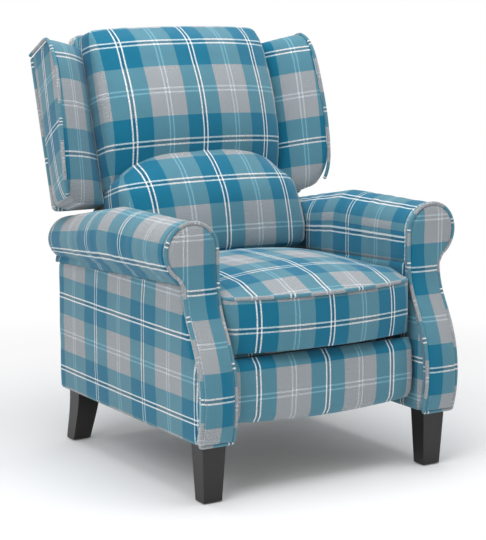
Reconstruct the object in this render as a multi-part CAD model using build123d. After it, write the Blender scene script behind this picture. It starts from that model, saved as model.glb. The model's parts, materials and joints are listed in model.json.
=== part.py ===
from build123d import *
from math import atan2, cos, degrees, radians, sin
import os

# A wing-backed push-back recliner, in millimetres.
# X runs across the chair, Y from front to back and Z up from the floor.
# While it is drawn, Y is measured from the front face of the front feet. At the end the whole
# chair moves along Y, so that the origin lies on the floor under the middle of its outline.
# Left and right are as seen by somebody who faces the chair.

# ---------------------------------------------------------------- width of the seat, which sets all other widths
SEAT_HALF_WIDTH = 264.0
ARM_GAP = 6.0             # seat to arm
ARM_INNER_X = SEAT_HALF_WIDTH + ARM_GAP

# ---------------------------------------------------------------- legs
LEG_HEIGHT = 143.0        # floor to the underside of the arms, glide included
LEG_X = ARM_INNER_X + 42.0  # middle of each leg
LEG_FOOT_WIDTH = 48.0
LEG_FOOT_DEPTH = 39.0
LEG_TOP_WIDTH = 62.0
LEG_TOP_DEPTH = 52.0
REAR_LEG_TOP_Y = 645.0    # middle of a rear leg where it meets the arm
REAR_LEG_SWEEP = 42.0     # how far the rear foot stands behind its top
GLIDE_RADIUS = 11.0
GLIDE_HEIGHT = 3.0
BOLT_RADIUS = 4.0         # hanger bolt between leg and arm post
BOLT_LENGTH = 80.0

# ---------------------------------------------------------------- arms
ARM_WIDTH = 87.0          # over the panels, without the scroll
ARM_REAR_Y = 695.0
PANEL_THICKNESS = 14.0
PANEL_CORNER = 45.0       # rounding of the outer panel, low at the back
ROLL_RADIUS = 67.0        # scroll on top of the arm
ROLL_TOP_Z = LEG_HEIGHT + 499.0  # along the front half of the arm
ROLL_REAR_TOP_Z = LEG_HEIGHT + 435.0
ROLL_REAR_Y = 728.0
ROLL_LEVEL_Y = 330.0      # the arm starts to slope down behind this
SEAM_FRONT_Z = LEG_HEIGHT + 357.0  # underside of the scroll
SEAM_REAR_Z = LEG_HEIGHT + 323.0
NECK_ANGLE = 60.0         # the scroll turns in this far below its widest point
FACING_THICKNESS = 22.0
FACE_FOOT_Y = -20.0       # the S-curved arm front, from its foot upwards
FACE_BELLY_Y = -34.0
FACE_BELLY_Z = LEG_HEIGHT + 97.0
FACE_WAIST_Z = LEG_HEIGHT + 240.0
FACE_UPPER_Y = 46.0
FACE_UPPER_Z = LEG_HEIGHT + 357.0
PIPING_RADIUS = 4.5
POST_DEPTH = 50.0
RAIL_HEIGHT = 45.0        # upper arm rail
SILL_HEIGHT = 87.0        # lower arm rail, which carries the mechanism
STRETCHER_DEPTH = 30.0
STRETCHER_HEIGHT = 50.0
STRETCHER_Y = 190.0
APRON_THICKNESS = 16.0    # board that closes the base at the back
APRON_TOP_Z = LEG_HEIGHT + 192.0

# ---------------------------------------------------------------- mechanism
PLATE_THICKNESS = 5.0
SIDE_GAP = 1.0            # between plates and links that pass each other
PIVOT_RADIUS = 5.0
PIVOT_CLEARANCE = 0.1     # radial, in every turning pivot
OPEN_PIVOT_CLEARANCE = 0.5
LINK_RADIUS = 13.0        # half the width of a link
BASE_PLATE_HEIGHT = 50.0
BASE_PLATE_OVERHANG = 20.0
BASE_PIVOT_Y = 170.0
BASE_PIVOT_Z = LEG_HEIGHT + 92.0
PIVOT_SPACING = 270.0     # front swing link to rear swing link
SWING_LENGTH = 115.0
SWING_REST_LEAN = 55.0    # backward lean of the swing links in the upright chair, degrees
SWING_TRAVEL = 52.0       # degrees
RECLINE = 20.0            # degrees
SWING_TUBE_RADIUS = 9.0
OTTOMAN_PIVOT_Y = 140.0
OTTOMAN_PIVOT_Z = LEG_HEIGHT + 167.0
OTTOMAN_LINK = 150.0      # pivot to pivot, both links of each scissor
OTTOMAN_FOLDED = 78.0     # slope of the links when folded, degrees
OTTOMAN_OPEN = 15.0       # and when open
OTTOMAN_TUBE_RADIUS = 8.0
FOOTREST_TURN = 87.0      # degrees
SCREW_RADIUS = 3.0
SCREW_HEAD_RADIUS = 6.0
SCREW_HEAD_HEIGHT = 3.0
SCREW_LENGTH = 38.0

# ---------------------------------------------------------------- seat
SEAT_FRONT_Y = -10.0      # foremost point of the bowed front
SEAT_CORNER_Y = 23.0      # where the bowed front ends in the rounded corners
SEAT_CORNER_RADIUS = 30.0
SEAT_REAR_Y = 449.0
PIPING_Z = LEG_HEIGHT + 319.0  # seat edge
SEAT_SIDE_Z = LEG_HEIGHT + 335.0  # side of the seat cushion
SEAT_CROWN_Z = LEG_HEIGHT + 371.0  # highest point of the seat cushion
BORDER_BOTTOM_Z = LEG_HEIGHT + 191.0
BORDER_BACK_Y = 62.0
BORDER_BULGE = 10.0
SEAT_RAIL_BOTTOM_Z = LEG_HEIGHT + 197.0
SEAT_RAIL_TOP_Z = LEG_HEIGHT + 257.0
SEAT_RAIL_THICKNESS = 24.0
SIDE_RAIL_WIDTH = 48.0
SEAT_FRAME_REAR_Y = 545.0
SPRING_WIRE = 2.0         # radius
SPRING_BEND = 13.0        # radius of each half turn
SPRING_COUNT = 5
SPRING_SPACING = 76.0
SOFT_GAP = 0.3            # between a soft piece and what it rests on

# ---------------------------------------------------------------- footrest
FOOTREST_HALF_WIDTH = SEAT_HALF_WIDTH - 4.0
FOOTREST_TOP_Z = LEG_HEIGHT + 179.0
FOOTREST_BOTTOM_Z = LEG_HEIGHT + 22.0
FOOTREST_FRONT_Y = -4.0
FOOTREST_BULGE = 9.0
FOOTREST_CORNER_Y = 12.0
FOOTREST_CORNER_RADIUS = 8.0
FOOTREST_BACK_Y = 30.0
BOARD_THICKNESS = 16.0
BOARD_HALF_WIDTH = FOOTREST_HALF_WIDTH - 28.0
BOARD_MARGIN = 16.0       # board edge inside the pad's edge
BRACKET_FOOT = 22.0
BRACKET_DEPTH = 100.0

# ---------------------------------------------------------------- back
BACK_TILT = 17.0          # degrees from upright, chair closed
BACK_Y = 690.0            # a point on the rear face of the back
BACK_Z = LEG_HEIGHT + 457.0
BACK_PANEL = 12.0
POST_THICKNESS = 32.0
POST_WIDTH = 34.0
BACK_TOP = 440.0          # heights along the tilted back, from that point
BACK_FOOT = -200.0
BACK_PANEL_FOOT = -262.0
BACK_PIVOT_UP = -174.0
BACK_PIVOT_FORWARD = 28.0
BACK_RAIL_HEIGHT = 36.0
LOWER_RAIL_UP = -130.0
WING_INNER_X = SEAT_HALF_WIDTH - 6.0
WING_OUTER_X = WING_INNER_X + 116.0
WING_FOOT = -4.0
WING_FOOT_DEPTH = 111.0   # how far the wing stands forward of the rear face
WING_ELBOW = (172.0, 52.0)     # forward and up, at the ends of the long front curve
WING_MIDDLE = (193.0, 215.0)
WING_SHOULDER = (166.0, 384.0)
WING_TOP = (104.0, 438.0)
WING_ROOT_DEPTH = 66.0    # where the wing meets the back cushion
WING_BELLY = 15.0         # how far its inner face swells
UPPER_CUSHION = (         # up, how much narrower than the seat on each side, depth at the side and in the middle
    (84.0, 24.0, 98.0, 138.0),
    (125.0, 15.0, 122.0, 172.0),
    (215.0, 14.0, 131.0, 187.0),
    (330.0, 16.0, 122.0, 172.0),
    (412.0, 21.0, 103.0, 142.0),
    (442.0, 32.0, 76.0, 98.0),
)
LUMBAR_CUSHION = (
    (-163.0, 14.0, 176.0, 200.0),
    (-120.0, 5.0, 184.0, 215.0),
    (-60.0, 4.0, 180.0, 223.0),
    (-8.0, 8.0, 170.0, 218.0),
    (30.0, 12.0, 156.0, 204.0),
    (66.0, 28.0, 138.0, 184.0),
    (100.0, 94.0, 120.0, 160.0),
    (116.0, 168.0, 108.0, 132.0),
)
CUSHION_CORNER = 28.0

# ---------------------------------------------------------------- worked out
ARM_OUTER_X = ARM_INNER_X + ARM_WIDTH
ROLL_X = ARM_INNER_X + ROLL_RADIUS
FRONT_LEG_Y = LEG_FOOT_DEPTH / 2
TIMBER_INNER_X = ARM_INNER_X + PANEL_THICKNESS
TIMBER_OUTER_X = ARM_OUTER_X - PANEL_THICKNESS
FRONT_POST_REAR_Y = FACE_UPPER_Y + FACING_THICKNESS + POST_DEPTH / 2
REAR_POST_FRONT_Y = ARM_REAR_Y - POST_DEPTH
SEAM_SLOPE = (SEAM_REAR_Z - SEAM_FRONT_Z) / (ROLL_REAR_Y - FACE_UPPER_Y)

# The plates and links lie side by side, from the arm inwards.
LAYER = PLATE_THICKNESS + SIDE_GAP
BASE_PLATE_X = ARM_INNER_X - PLATE_THICKNESS
SWING_LINK_X = BASE_PLATE_X - LAYER
SEAT_PLATE_X = SWING_LINK_X - LAYER
OTTOMAN_REAR_X = SEAT_PLATE_X - LAYER
OTTOMAN_FRONT_X = OTTOMAN_REAR_X - LAYER
BRACKET_X = OTTOMAN_FRONT_X - LAYER

LEAN = radians(SWING_REST_LEAN)
BASE_PIVOTS = [(BASE_PIVOT_Y, BASE_PIVOT_Z), (BASE_PIVOT_Y + PIVOT_SPACING, BASE_PIVOT_Z)]
SEAT_PIVOTS = [(y + SWING_LENGTH * sin(LEAN), z + SWING_LENGTH * cos(LEAN)) for y, z in BASE_PIVOTS]
SCISSOR_RUN = OTTOMAN_LINK * cos(radians(OTTOMAN_FOLDED))
SCISSOR_DROP = OTTOMAN_LINK * sin(radians(OTTOMAN_FOLDED))
OTTOMAN_PIVOT = (OTTOMAN_PIVOT_Y, OTTOMAN_PIVOT_Z)
ELBOW_PIVOT = (OTTOMAN_PIVOT_Y - SCISSOR_RUN, OTTOMAN_PIVOT_Z - SCISSOR_DROP)
FOOTREST_PIVOT = (OTTOMAN_PIVOT_Y - 2 * SCISSOR_RUN, OTTOMAN_PIVOT_Z)


def back_point(x, forward, up):
    """A point of the tilted back: forward of its rear face, up along it."""
    tilt = radians(BACK_TILT)
    y = BACK_Y - forward * cos(tilt) + up * sin(tilt)
    z = BACK_Z + forward * sin(tilt) + up * cos(tilt)
    return Vector(x, y, z)


BACK_PIVOT = tuple(back_point(0, BACK_PIVOT_FORWARD, BACK_PIVOT_UP))[1:]


# ---------------------------------------------------------------- shared shapes
def block(x0, x1, y0, y1, z0, z1):
    """A box from one corner to the opposite one."""
    return Pos((x0 + x1) / 2, (y0 + y1) / 2, (z0 + z1) / 2) * Box(x1 - x0, y1 - y0, z1 - z0)


def tilted_block(x0, x1, forward0, forward1, up0, up1):
    """A box that lies along the tilted back."""
    middle = back_point((x0 + x1) / 2, (forward0 + forward1) / 2, (up0 + up1) / 2)
    return Pos(*middle) * Rot(-BACK_TILT, 0, 0) * Box(x1 - x0, forward1 - forward0, up1 - up0)


def prism_x(face, x0, x1):
    """A side view, drawn in Y and Z, given a thickness from x0 to x1."""
    return Pos(x0, 0, 0) * extrude(Plane.YZ * face, x1 - x0)


def side_polygon(points):
    """A side view with straight edges."""
    return make_face(Polyline(*points, close=True))


def bar(start, end, radius):
    """Side view of a flat bar with round ends, from pivot to pivot."""
    first = Vector(*start)
    run = Vector(*end) - first
    slot = SlotCenterToCenter(run.length, 2 * radius)
    return Pos(*(first + run / 2)) * Rot(0, 0, degrees(atan2(run.Y, run.X))) * slot


def rod_x(pivot, radius, x0, x1):
    """A round rod across the chair, at a pivot's place."""
    return prism_x(Pos(*pivot) * Circle(radius), x0, x1)


def link(start, end, x, start_hole, end_hole):
    """A flat link of plate thickness with a hole at either end."""
    shape = bar(start, end, LINK_RADIUS) - Pos(*start) * Circle(start_hole) - Pos(*end) * Circle(end_hole)
    return prism_x(shape, x, x + PLATE_THICKNESS)


def mirrored(piece):
    """The same piece on the other side of the chair."""
    return mirror(piece, about=Plane.YZ)


def pair(piece):
    """Two separate solids, one on either side."""
    return Compound([*piece.solids(), *mirrored(piece).solids()])


# ---------------------------------------------------------------- legs
def leg_section(x, y, z, width, depth):
    return Pos(x, y, z) * Rectangle(width, depth)


def front_leg():
    """Straight block foot that tapers on all four sides."""
    top = leg_section(LEG_X, FRONT_LEG_Y, LEG_HEIGHT, LEG_TOP_WIDTH, LEG_TOP_DEPTH)
    foot = leg_section(LEG_X, FRONT_LEG_Y, GLIDE_HEIGHT, LEG_FOOT_WIDTH, LEG_FOOT_DEPTH)
    return loft([foot, top], ruled=True)


def rear_leg():
    """Sabre foot that curves backwards as it goes down."""
    sections = []
    for share, sweep in ((0, 1), (0.35, 0.55), (0.7, 0.17), (1, 0)):
        z = GLIDE_HEIGHT + share * (LEG_HEIGHT - GLIDE_HEIGHT)
        y = REAR_LEG_TOP_Y + sweep * REAR_LEG_SWEEP
        width = LEG_FOOT_WIDTH + share * (LEG_TOP_WIDTH - LEG_FOOT_WIDTH)
        depth = LEG_FOOT_DEPTH + share * (LEG_TOP_DEPTH - LEG_FOOT_DEPTH)
        sections.append(leg_section(LEG_X, y, z, width, depth))
    return loft(sections)


def leg_bolt(y):
    """Hanger bolt, half in the leg and half in the arm post."""
    return Pos(LEG_X, y, LEG_HEIGHT) * Cylinder(BOLT_RADIUS, BOLT_LENGTH)


def glide(y):
    """Round glide under a foot."""
    return Pos(LEG_X, y, GLIDE_HEIGHT / 2) * Cylinder(GLIDE_RADIUS, GLIDE_HEIGHT)


# ---------------------------------------------------------------- arms
def seam_z(y):
    """Height of the scroll's underside."""
    return SEAM_FRONT_Z + SEAM_SLOPE * (y - FACE_UPPER_Y)


def face_line(shift):
    """Side view of the S-curved arm front, moved back by shift."""
    points = (
        (FACE_FOOT_Y + shift, LEG_HEIGHT),
        (FACE_BELLY_Y + shift, FACE_BELLY_Z),
        ((FACE_BELLY_Y + FACE_UPPER_Y) / 2 + shift, FACE_WAIST_Z),
        (FACE_UPPER_Y + shift, FACE_UPPER_Z),
    )
    return Spline(*points, tangents=((-0.3, 1), (0, 1)))


def face_region(front_shift, rear_shift, x0, x1):
    """What lies between the S-curve and the same curve further back."""
    top = ROLL_TOP_Z + 2 * PIPING_RADIUS
    low = LEG_HEIGHT - 2 * PIPING_RADIUS
    front = face_line(front_shift)
    rear = face_line(rear_shift)
    edges = [
        front,
        rear,
        Polyline(front @ 1, (FACE_UPPER_Y + front_shift, top), (FACE_UPPER_Y + rear_shift, top), rear @ 1),
        Polyline(front @ 0, (FACE_FOOT_Y + front_shift, low), (FACE_FOOT_Y + rear_shift, low), rear @ 0),
    ]
    return prism_x(make_face(edges), x0, x1)


def arm_side(x0, x1, rear_y, bottom):
    """A slice of the arm under the seam, from the facing back to rear_y."""
    front = face_line(FACING_THICKNESS)
    high = (FACE_UPPER_Y + FACING_THICKNESS, ROLL_TOP_Z)
    outline = Polyline(front @ 1, high, (rear_y, ROLL_TOP_Z), (rear_y, LEG_HEIGHT), front @ 0)
    foremost = FACE_BELLY_Y - FACING_THICKNESS
    below_seam = side_polygon(
        ((foremost, bottom), (rear_y, bottom), (rear_y, seam_z(rear_y)), (foremost, seam_z(foremost)))
    )
    return prism_x(make_face([front, outline]), x0, x1) & prism_x(below_seam, x0, x1)


def outer_panel():
    panel = arm_side(TIMBER_OUTER_X, ARM_OUTER_X, ARM_REAR_Y, LEG_HEIGHT)
    low_corner = panel.edges().filter_by(Axis.X).sort_by(Axis.Z)[:2].sort_by(Axis.Y)[-1]
    return fillet(low_corner, PANEL_CORNER)


def inner_panel():
    return arm_side(ARM_INNER_X, TIMBER_INNER_X, ARM_REAR_Y, LEG_HEIGHT)


def front_post():
    """Wide post, cut to the S-curve, that stands on the front leg."""
    return arm_side(TIMBER_INNER_X, TIMBER_OUTER_X, FRONT_POST_REAR_Y, LEG_HEIGHT) - leg_bolt(FRONT_LEG_Y)


def arm_timber(y0, y1, bottom, top):
    """A timber between the panels. Its lower and upper edges are given as heights over y."""
    outline = ((y0, bottom(y0)), (y1, bottom(y1)), (y1, top(y1)), (y0, top(y0)))
    return prism_x(side_polygon(outline), TIMBER_INNER_X, TIMBER_OUTER_X)


def rear_post():
    post = arm_timber(REAR_POST_FRONT_Y, ARM_REAR_Y, lambda y: LEG_HEIGHT, seam_z)
    return post - leg_bolt(REAR_LEG_TOP_Y + BOLT_RADIUS)


def upper_arm_rail():
    return arm_timber(FRONT_POST_REAR_Y, REAR_POST_FRONT_Y, lambda y: seam_z(y) - RAIL_HEIGHT, seam_z)


def arm_sill():
    sill = arm_timber(
        FRONT_POST_REAR_Y, REAR_POST_FRONT_Y, lambda y: LEG_HEIGHT, lambda y: LEG_HEIGHT + SILL_HEIGHT
    )
    return sill - base_screws()


def scroll_point(angle, across, rise, x, z):
    """A point of the scroll's outline, which is a little flatter where the arm is lower."""
    return x + across * cos(radians(angle)), z + rise * sin(radians(angle))


def scroll_edges(top, seam, place, grow=0.0):
    """The scroll's outline from the inner side over the top to the neck, drawn by place(x, z)."""
    rise = ROLL_RADIUS * (top - seam) / (ROLL_TOP_Z - SEAM_FRONT_Z) + grow
    across = ROLL_RADIUS + grow
    centre = top + grow - rise
    edges = []
    for first, last in ((180, 90), (90, 0), (0, -NECK_ANGLE)):
        stops = (first, (first + last) / 2, last)
        edges.append(ThreePointArc(*(place(*scroll_point(a, across, rise, ROLL_X, centre)) for a in stops)))
    return edges


def roll_section(y, top):
    """The arm roll cut across at y."""
    seam = seam_z(y)
    curve = scroll_edges(top, seam, lambda x, z: (x, y, z))
    low_inner = (ARM_INNER_X, y, seam)
    low_outer = (ARM_OUTER_X, y, seam)
    straight = Polyline(curve[-1] @ 1, low_outer, low_inner, curve[0] @ 0)
    return make_face([*curve, straight])


def arm_roll():
    """Padded roll, level in front and sloping down behind."""
    front_y = FACE_UPPER_Y + FACING_THICKNESS
    drop = ROLL_TOP_Z - ROLL_REAR_TOP_Z
    sections = []
    for share in (-1, 0, 0.35, 0.7, 1):
        y = ROLL_LEVEL_Y + share * (ROLL_REAR_Y - ROLL_LEVEL_Y) if share >= 0 else front_y
        sections.append(roll_section(y, ROLL_TOP_Z - drop * max(share, 0) ** 1.4))
    return loft(sections)


def facing_outline(grow):
    """Front view of the arm front: a straight stem under the scroll."""
    curve = scroll_edges(ROLL_TOP_Z, SEAM_FRONT_Z, lambda x, z: (x, 0, z), grow)
    low = LEG_HEIGHT - grow
    stem = Polyline(
        curve[-1] @ 1,
        (ARM_OUTER_X + grow, 0, SEAM_FRONT_Z - grow),
        (ARM_OUTER_X + grow, 0, low),
        (ARM_INNER_X - grow, 0, low),
        curve[0] @ 0,
    )
    return make_face([*curve, stem])


def front_column(grow):
    """The arm front's outline carried through from front to back."""
    reach = abs(FACE_BELLY_Y) + FACE_UPPER_Y + 2 * FACING_THICKNESS
    return extrude(facing_outline(grow), reach, dir=(0, 1, 0), both=True)


def facing():
    """Padded board on the arm front, under the scroll's edge."""
    inner = ARM_INNER_X - PIPING_RADIUS
    outer = ROLL_X + ROLL_RADIUS + 2 * PIPING_RADIUS
    return front_column(-PIPING_RADIUS) & face_region(0, FACING_THICKNESS, inner, outer)


def facing_piping():
    """Piping all round the arm front."""
    inner = ARM_INNER_X - 2 * PIPING_RADIUS
    outer = ROLL_X + ROLL_RADIUS + 2 * PIPING_RADIUS
    ring = front_column(PIPING_RADIUS - 0.5) - front_column(-PIPING_RADIUS)
    return ring & face_region(-PIPING_RADIUS / 2, 1.5 * PIPING_RADIUS, inner, outer)


def stretcher():
    """Cross rail between the two arms, behind the folded footrest."""
    y0 = STRETCHER_Y - STRETCHER_DEPTH / 2
    top = LEG_HEIGHT + STRETCHER_HEIGHT
    return block(-ARM_INNER_X, ARM_INNER_X, y0, y0 + STRETCHER_DEPTH, LEG_HEIGHT, top)


def rear_apron():
    """Board between the arms that closes the base at the back."""
    return block(-ARM_INNER_X, ARM_INNER_X, ARM_REAR_Y - APRON_THICKNESS, ARM_REAR_Y, LEG_HEIGHT, APRON_TOP_Z)


# ---------------------------------------------------------------- mechanism
def screw_places():
    """Screws of one base plate, between its pivots."""
    low_z = BASE_PIVOT_Z - BASE_PLATE_HEIGHT / 2
    return [(BASE_PIVOT_Y + share * PIVOT_SPACING, low_z) for share in (0.2, 0.5, 0.8)]


def base_screws():
    """Countersunk screws that hold one base plate to its arm."""
    head_x = BASE_PLATE_X + SCREW_HEAD_HEIGHT
    heads = [rod_x(place, SCREW_HEAD_RADIUS, BASE_PLATE_X, head_x) for place in screw_places()]
    shanks = [rod_x(place, SCREW_RADIUS, head_x, BASE_PLATE_X + SCREW_LENGTH) for place in screw_places()]
    return Compound([(head + shank).solid() for head, shank in zip(heads, shanks)])


def base_plate():
    """Steel plate on the arm's inner side, with the two fixed pivots."""
    (front_y, z), (rear_y, _) = BASE_PIVOTS
    middle = (front_y + rear_y) / 2
    length = rear_y - front_y + 2 * BASE_PLATE_OVERHANG
    top = z + LINK_RADIUS + SIDE_GAP
    shape = RectangleRounded(length, BASE_PLATE_HEIGHT, LINK_RADIUS)
    plate = prism_x(Pos(middle, top - BASE_PLATE_HEIGHT / 2) * shape, BASE_PLATE_X, ARM_INNER_X)
    for pivot in BASE_PIVOTS:
        plate -= rod_x(pivot, PIVOT_RADIUS, BASE_PLATE_X, ARM_INNER_X)
    return plate - base_screws()


def base_pins():
    """Fixed pins for the swing links of one side."""
    return Compound([rod_x(pivot, PIVOT_RADIUS, SWING_LINK_X, ARM_INNER_X).solid() for pivot in BASE_PIVOTS])


def swing_link(index, top_clearance):
    """Link that carries the seat on the base."""
    low_hole = PIVOT_RADIUS + PIVOT_CLEARANCE
    return link(BASE_PIVOTS[index], SEAT_PIVOTS[index], SWING_LINK_X, low_hole, PIVOT_RADIUS + top_clearance)


def swing_tube():
    """Torsion tube that makes both front swing links turn together."""
    (low_y, low_z), (high_y, high_z) = BASE_PIVOTS[0], SEAT_PIVOTS[0]
    middle = ((low_y + high_y) / 2, (low_z + high_z) / 2)
    return rod_x(middle, SWING_TUBE_RADIUS, -SWING_LINK_X, SWING_LINK_X)


def seat_plate():
    """Steel side plate of the seat, with the pivots of everything that hangs from it."""
    shape = bar(OTTOMAN_PIVOT, SEAT_PIVOTS[0], LINK_RADIUS)
    shape += bar(*SEAT_PIVOTS, LINK_RADIUS)
    web_y0 = OTTOMAN_PIVOT[0] - LINK_RADIUS
    web_y1 = SEAT_PIVOTS[1][0]
    shape += bar((web_y1 - LINK_RADIUS, SEAT_RAIL_TOP_Z - LINK_RADIUS), BACK_PIVOT, LINK_RADIUS)
    web_z0 = SEAT_PIVOTS[0][1]
    shape += side_polygon(
        ((web_y0, OTTOMAN_PIVOT[1]), (web_y1, web_z0), (web_y1, SEAT_RAIL_TOP_Z), (web_y0, SEAT_RAIL_TOP_Z))
    )
    plate = prism_x(shape, SEAT_PLATE_X, SEAT_PLATE_X + PLATE_THICKNESS)
    return plate - seat_pins()


def seat_pins():
    """Pins riveted into one seat plate: two outwards to the swing links, two inwards."""
    outer_x = SWING_LINK_X + PLATE_THICKNESS
    plate_outer_x = SEAT_PLATE_X + PLATE_THICKNESS
    pins = [rod_x(pivot, PIVOT_RADIUS, SEAT_PLATE_X, outer_x) for pivot in SEAT_PIVOTS]
    pins.append(rod_x(OTTOMAN_PIVOT, PIVOT_RADIUS, OTTOMAN_REAR_X, plate_outer_x))
    pins.append(rod_x(BACK_PIVOT, PIVOT_RADIUS, SEAT_PLATE_X - POST_WIDTH, plate_outer_x))
    return Compound([pin.solid() for pin in pins])


def ottoman_rear_link():
    """Link from the seat plate down to the elbow, with the elbow's pin riveted in."""
    hole = PIVOT_RADIUS + PIVOT_CLEARANCE
    pin = rod_x(ELBOW_PIVOT, PIVOT_RADIUS, OTTOMAN_FRONT_X, OTTOMAN_REAR_X + PLATE_THICKNESS)
    return link(OTTOMAN_PIVOT, ELBOW_PIVOT, OTTOMAN_REAR_X, hole, PIVOT_RADIUS) + pin


def ottoman_front_link():
    """Link from the elbow up to the footrest."""
    hole = PIVOT_RADIUS + PIVOT_CLEARANCE
    return link(ELBOW_PIVOT, FOOTREST_PIVOT, OTTOMAN_FRONT_X, hole, hole)


def ottoman_tube():
    """Tube that makes both scissors move together."""
    (high_y, high_z), (low_y, low_z) = OTTOMAN_PIVOT, ELBOW_PIVOT
    middle = ((high_y + low_y) / 2, (high_z + low_z) / 2)
    return rod_x(middle, OTTOMAN_TUBE_RADIUS, -OTTOMAN_REAR_X, OTTOMAN_REAR_X)


# ---------------------------------------------------------------- seat
def bowed_edges(half, corner_y, front_y, radius, z):
    """Plan of a bowed front with rounded corners, from the left side to the right side."""
    bow = ThreePointArc((radius - half, corner_y, z), (0, front_y, z), (half - radius, corner_y, z))
    right = TangentArc(bow @ 1, (half, corner_y + radius, z), tangent=bow % 1)
    left = ThreePointArc(*((-(right @ share).X, (right @ share).Y, z) for share in (1, 0.5, 0)))
    return [left, bow, right]


def bowed_plan(half, corner_y, front_y, radius, back_y, z):
    """Closed plan with a bowed front and a straight back."""
    edges = bowed_edges(half, corner_y, front_y, radius, z)
    rear = Polyline(edges[-1] @ 1, (half, back_y, z), (-half, back_y, z), edges[0] @ 0)
    return make_face([*edges, rear])


def seat_plan(grow, back_y, z):
    """Plan of the seat, whose front stands out by grow."""
    front = SEAT_FRONT_Y - grow
    return bowed_plan(SEAT_HALF_WIDTH, SEAT_CORNER_Y - grow, front, SEAT_CORNER_RADIUS, back_y, z)


def seat_piping():
    """Piping along the seat's front edge."""
    inset = PIPING_RADIUS / 3
    half = SEAT_HALF_WIDTH - PIPING_RADIUS
    corner = SEAT_CORNER_Y + inset
    path = Wire(bowed_edges(half, corner, SEAT_FRONT_Y + inset, SEAT_CORNER_RADIUS, PIPING_Z))
    return sweep(Plane(path @ 0, z_dir=path % 0) * Circle(PIPING_RADIUS), path=path)


def seat_border():
    """Padded band under the seat's front edge."""
    middle = (BORDER_BOTTOM_Z + PIPING_Z) / 2
    heights = ((BORDER_BOTTOM_Z, 0), (middle, BORDER_BULGE), (PIPING_Z, 0))
    border = loft([seat_plan(bulge, BORDER_BACK_Y, z) for z, bulge in heights])
    return border - seat_piping()


def seat_crown(y, side, middle):
    """The seat cushion cut across at y, before its front is trimmed to the bow."""
    half = SEAT_HALF_WIDTH
    bottom = SEAT_RAIL_TOP_Z + 2 * SPRING_WIRE + SOFT_GAP
    left = (-half, y, side)
    right = (half, y, side)
    top = ThreePointArc(left, (0, y, middle), right)
    return make_face([top, Polyline(right, (half, y, bottom), (-half, y, bottom), left)])


def seat_cushion():
    """Crowned cushion whose front reaches over the border."""
    length = SEAT_REAR_Y - SEAT_FRONT_Y
    stations = (  # share of the length, and shares of the rise at the side and in the middle
        (-0.05, 0, 0),
        (0.06, 0.4, 0.42),
        (0.25, 0.85, 0.75),
        (0.6, 1, 0.97),
        (0.88, 1, 1),
        (1, 0.7, 0.85),
    )
    sections = []
    for share, side_rise, middle_rise in stations:
        side = PIPING_Z + side_rise * (SEAT_SIDE_Z - PIPING_Z)
        middle = PIPING_Z + 1 + middle_rise * (SEAT_CROWN_Z - PIPING_Z - 1)
        sections.append(seat_crown(SEAT_FRONT_Y + share * length, side, middle))
    low = SEAT_RAIL_TOP_Z
    plan = extrude(seat_plan(0, SEAT_REAR_Y, low), SEAT_CROWN_Z + PIPING_RADIUS - low)
    back = BORDER_BACK_Y + SOFT_GAP
    over_border = block(-SEAT_HALF_WIDTH, SEAT_HALF_WIDTH, SEAT_FRONT_Y, back, low, PIPING_Z + SOFT_GAP)
    return (loft(sections) & plan) - over_border - seat_piping()


def seat_side_rail():
    x1 = SEAT_PLATE_X
    y0 = BORDER_BACK_Y + SEAT_RAIL_THICKNESS
    y1 = SEAT_FRAME_REAR_Y - SEAT_RAIL_THICKNESS
    return block(x1 - SIDE_RAIL_WIDTH, x1, y0, y1, SEAT_RAIL_BOTTOM_Z, SEAT_RAIL_TOP_Z)


def seat_cross_rail(y0):
    """Front or rear rail of the seat frame."""
    return block(
        -SEAT_PLATE_X, SEAT_PLATE_X, y0, y0 + SEAT_RAIL_THICKNESS, SEAT_RAIL_BOTTOM_Z, SEAT_RAIL_TOP_Z
    )


def sinuous_spring(x):
    """One zigzag spring from the front rail to the rear rail, made of half turns."""
    z = SEAT_RAIL_TOP_Z + SPRING_WIRE
    start = BORDER_BACK_Y + SEAT_RAIL_THICKNESS / 2
    end = SEAT_FRAME_REAR_Y - SEAT_RAIL_THICKNESS / 2
    turns = int((end - start) / (2 * SPRING_BEND))
    radius = (end - start) / (2 * turns)
    arcs = []
    for turn in range(turns):
        y = start + 2 * radius * turn
        side = x + radius * (1 if turn % 2 else -1)
        arcs.append(ThreePointArc((x, y, z), (side, y + radius, z), (x, y + 2 * radius, z)))
    path = Wire(arcs)
    return sweep(Plane(path @ 0, z_dir=path % 0) * Circle(SPRING_WIRE), path=path)


def seat_springs():
    middle = (SPRING_COUNT - 1) / 2
    springs = [sinuous_spring(SPRING_SPACING * (index - middle)) for index in range(SPRING_COUNT)]
    return Compound([spring.solid() for spring in springs])


# ---------------------------------------------------------------- footrest
def footrest_pad():
    """Padded panel that hangs under the seat's front border."""
    height = FOOTREST_TOP_Z - FOOTREST_BOTTOM_Z
    sections = []
    for share, swell in ((0, -0.5), (0.12, 0.2), (0.5, 1), (0.85, 0.4), (1, -1)):
        grow = swell * FOOTREST_BULGE
        corner = FOOTREST_CORNER_Y - grow
        front = FOOTREST_FRONT_Y + FOOTREST_BULGE - grow
        z = FOOTREST_BOTTOM_Z + share * height
        half = FOOTREST_HALF_WIDTH
        sections.append(bowed_plan(half, corner, front, FOOTREST_CORNER_RADIUS, FOOTREST_BACK_Y, z))
    return loft(sections)


def footrest_board():
    y0 = FOOTREST_BACK_Y
    top = OTTOMAN_PIVOT_Z - SIDE_GAP
    low = FOOTREST_BOTTOM_Z + BOARD_MARGIN
    return block(-BOARD_HALF_WIDTH, BOARD_HALF_WIDTH, y0, y0 + BOARD_THICKNESS, low, top)


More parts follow.
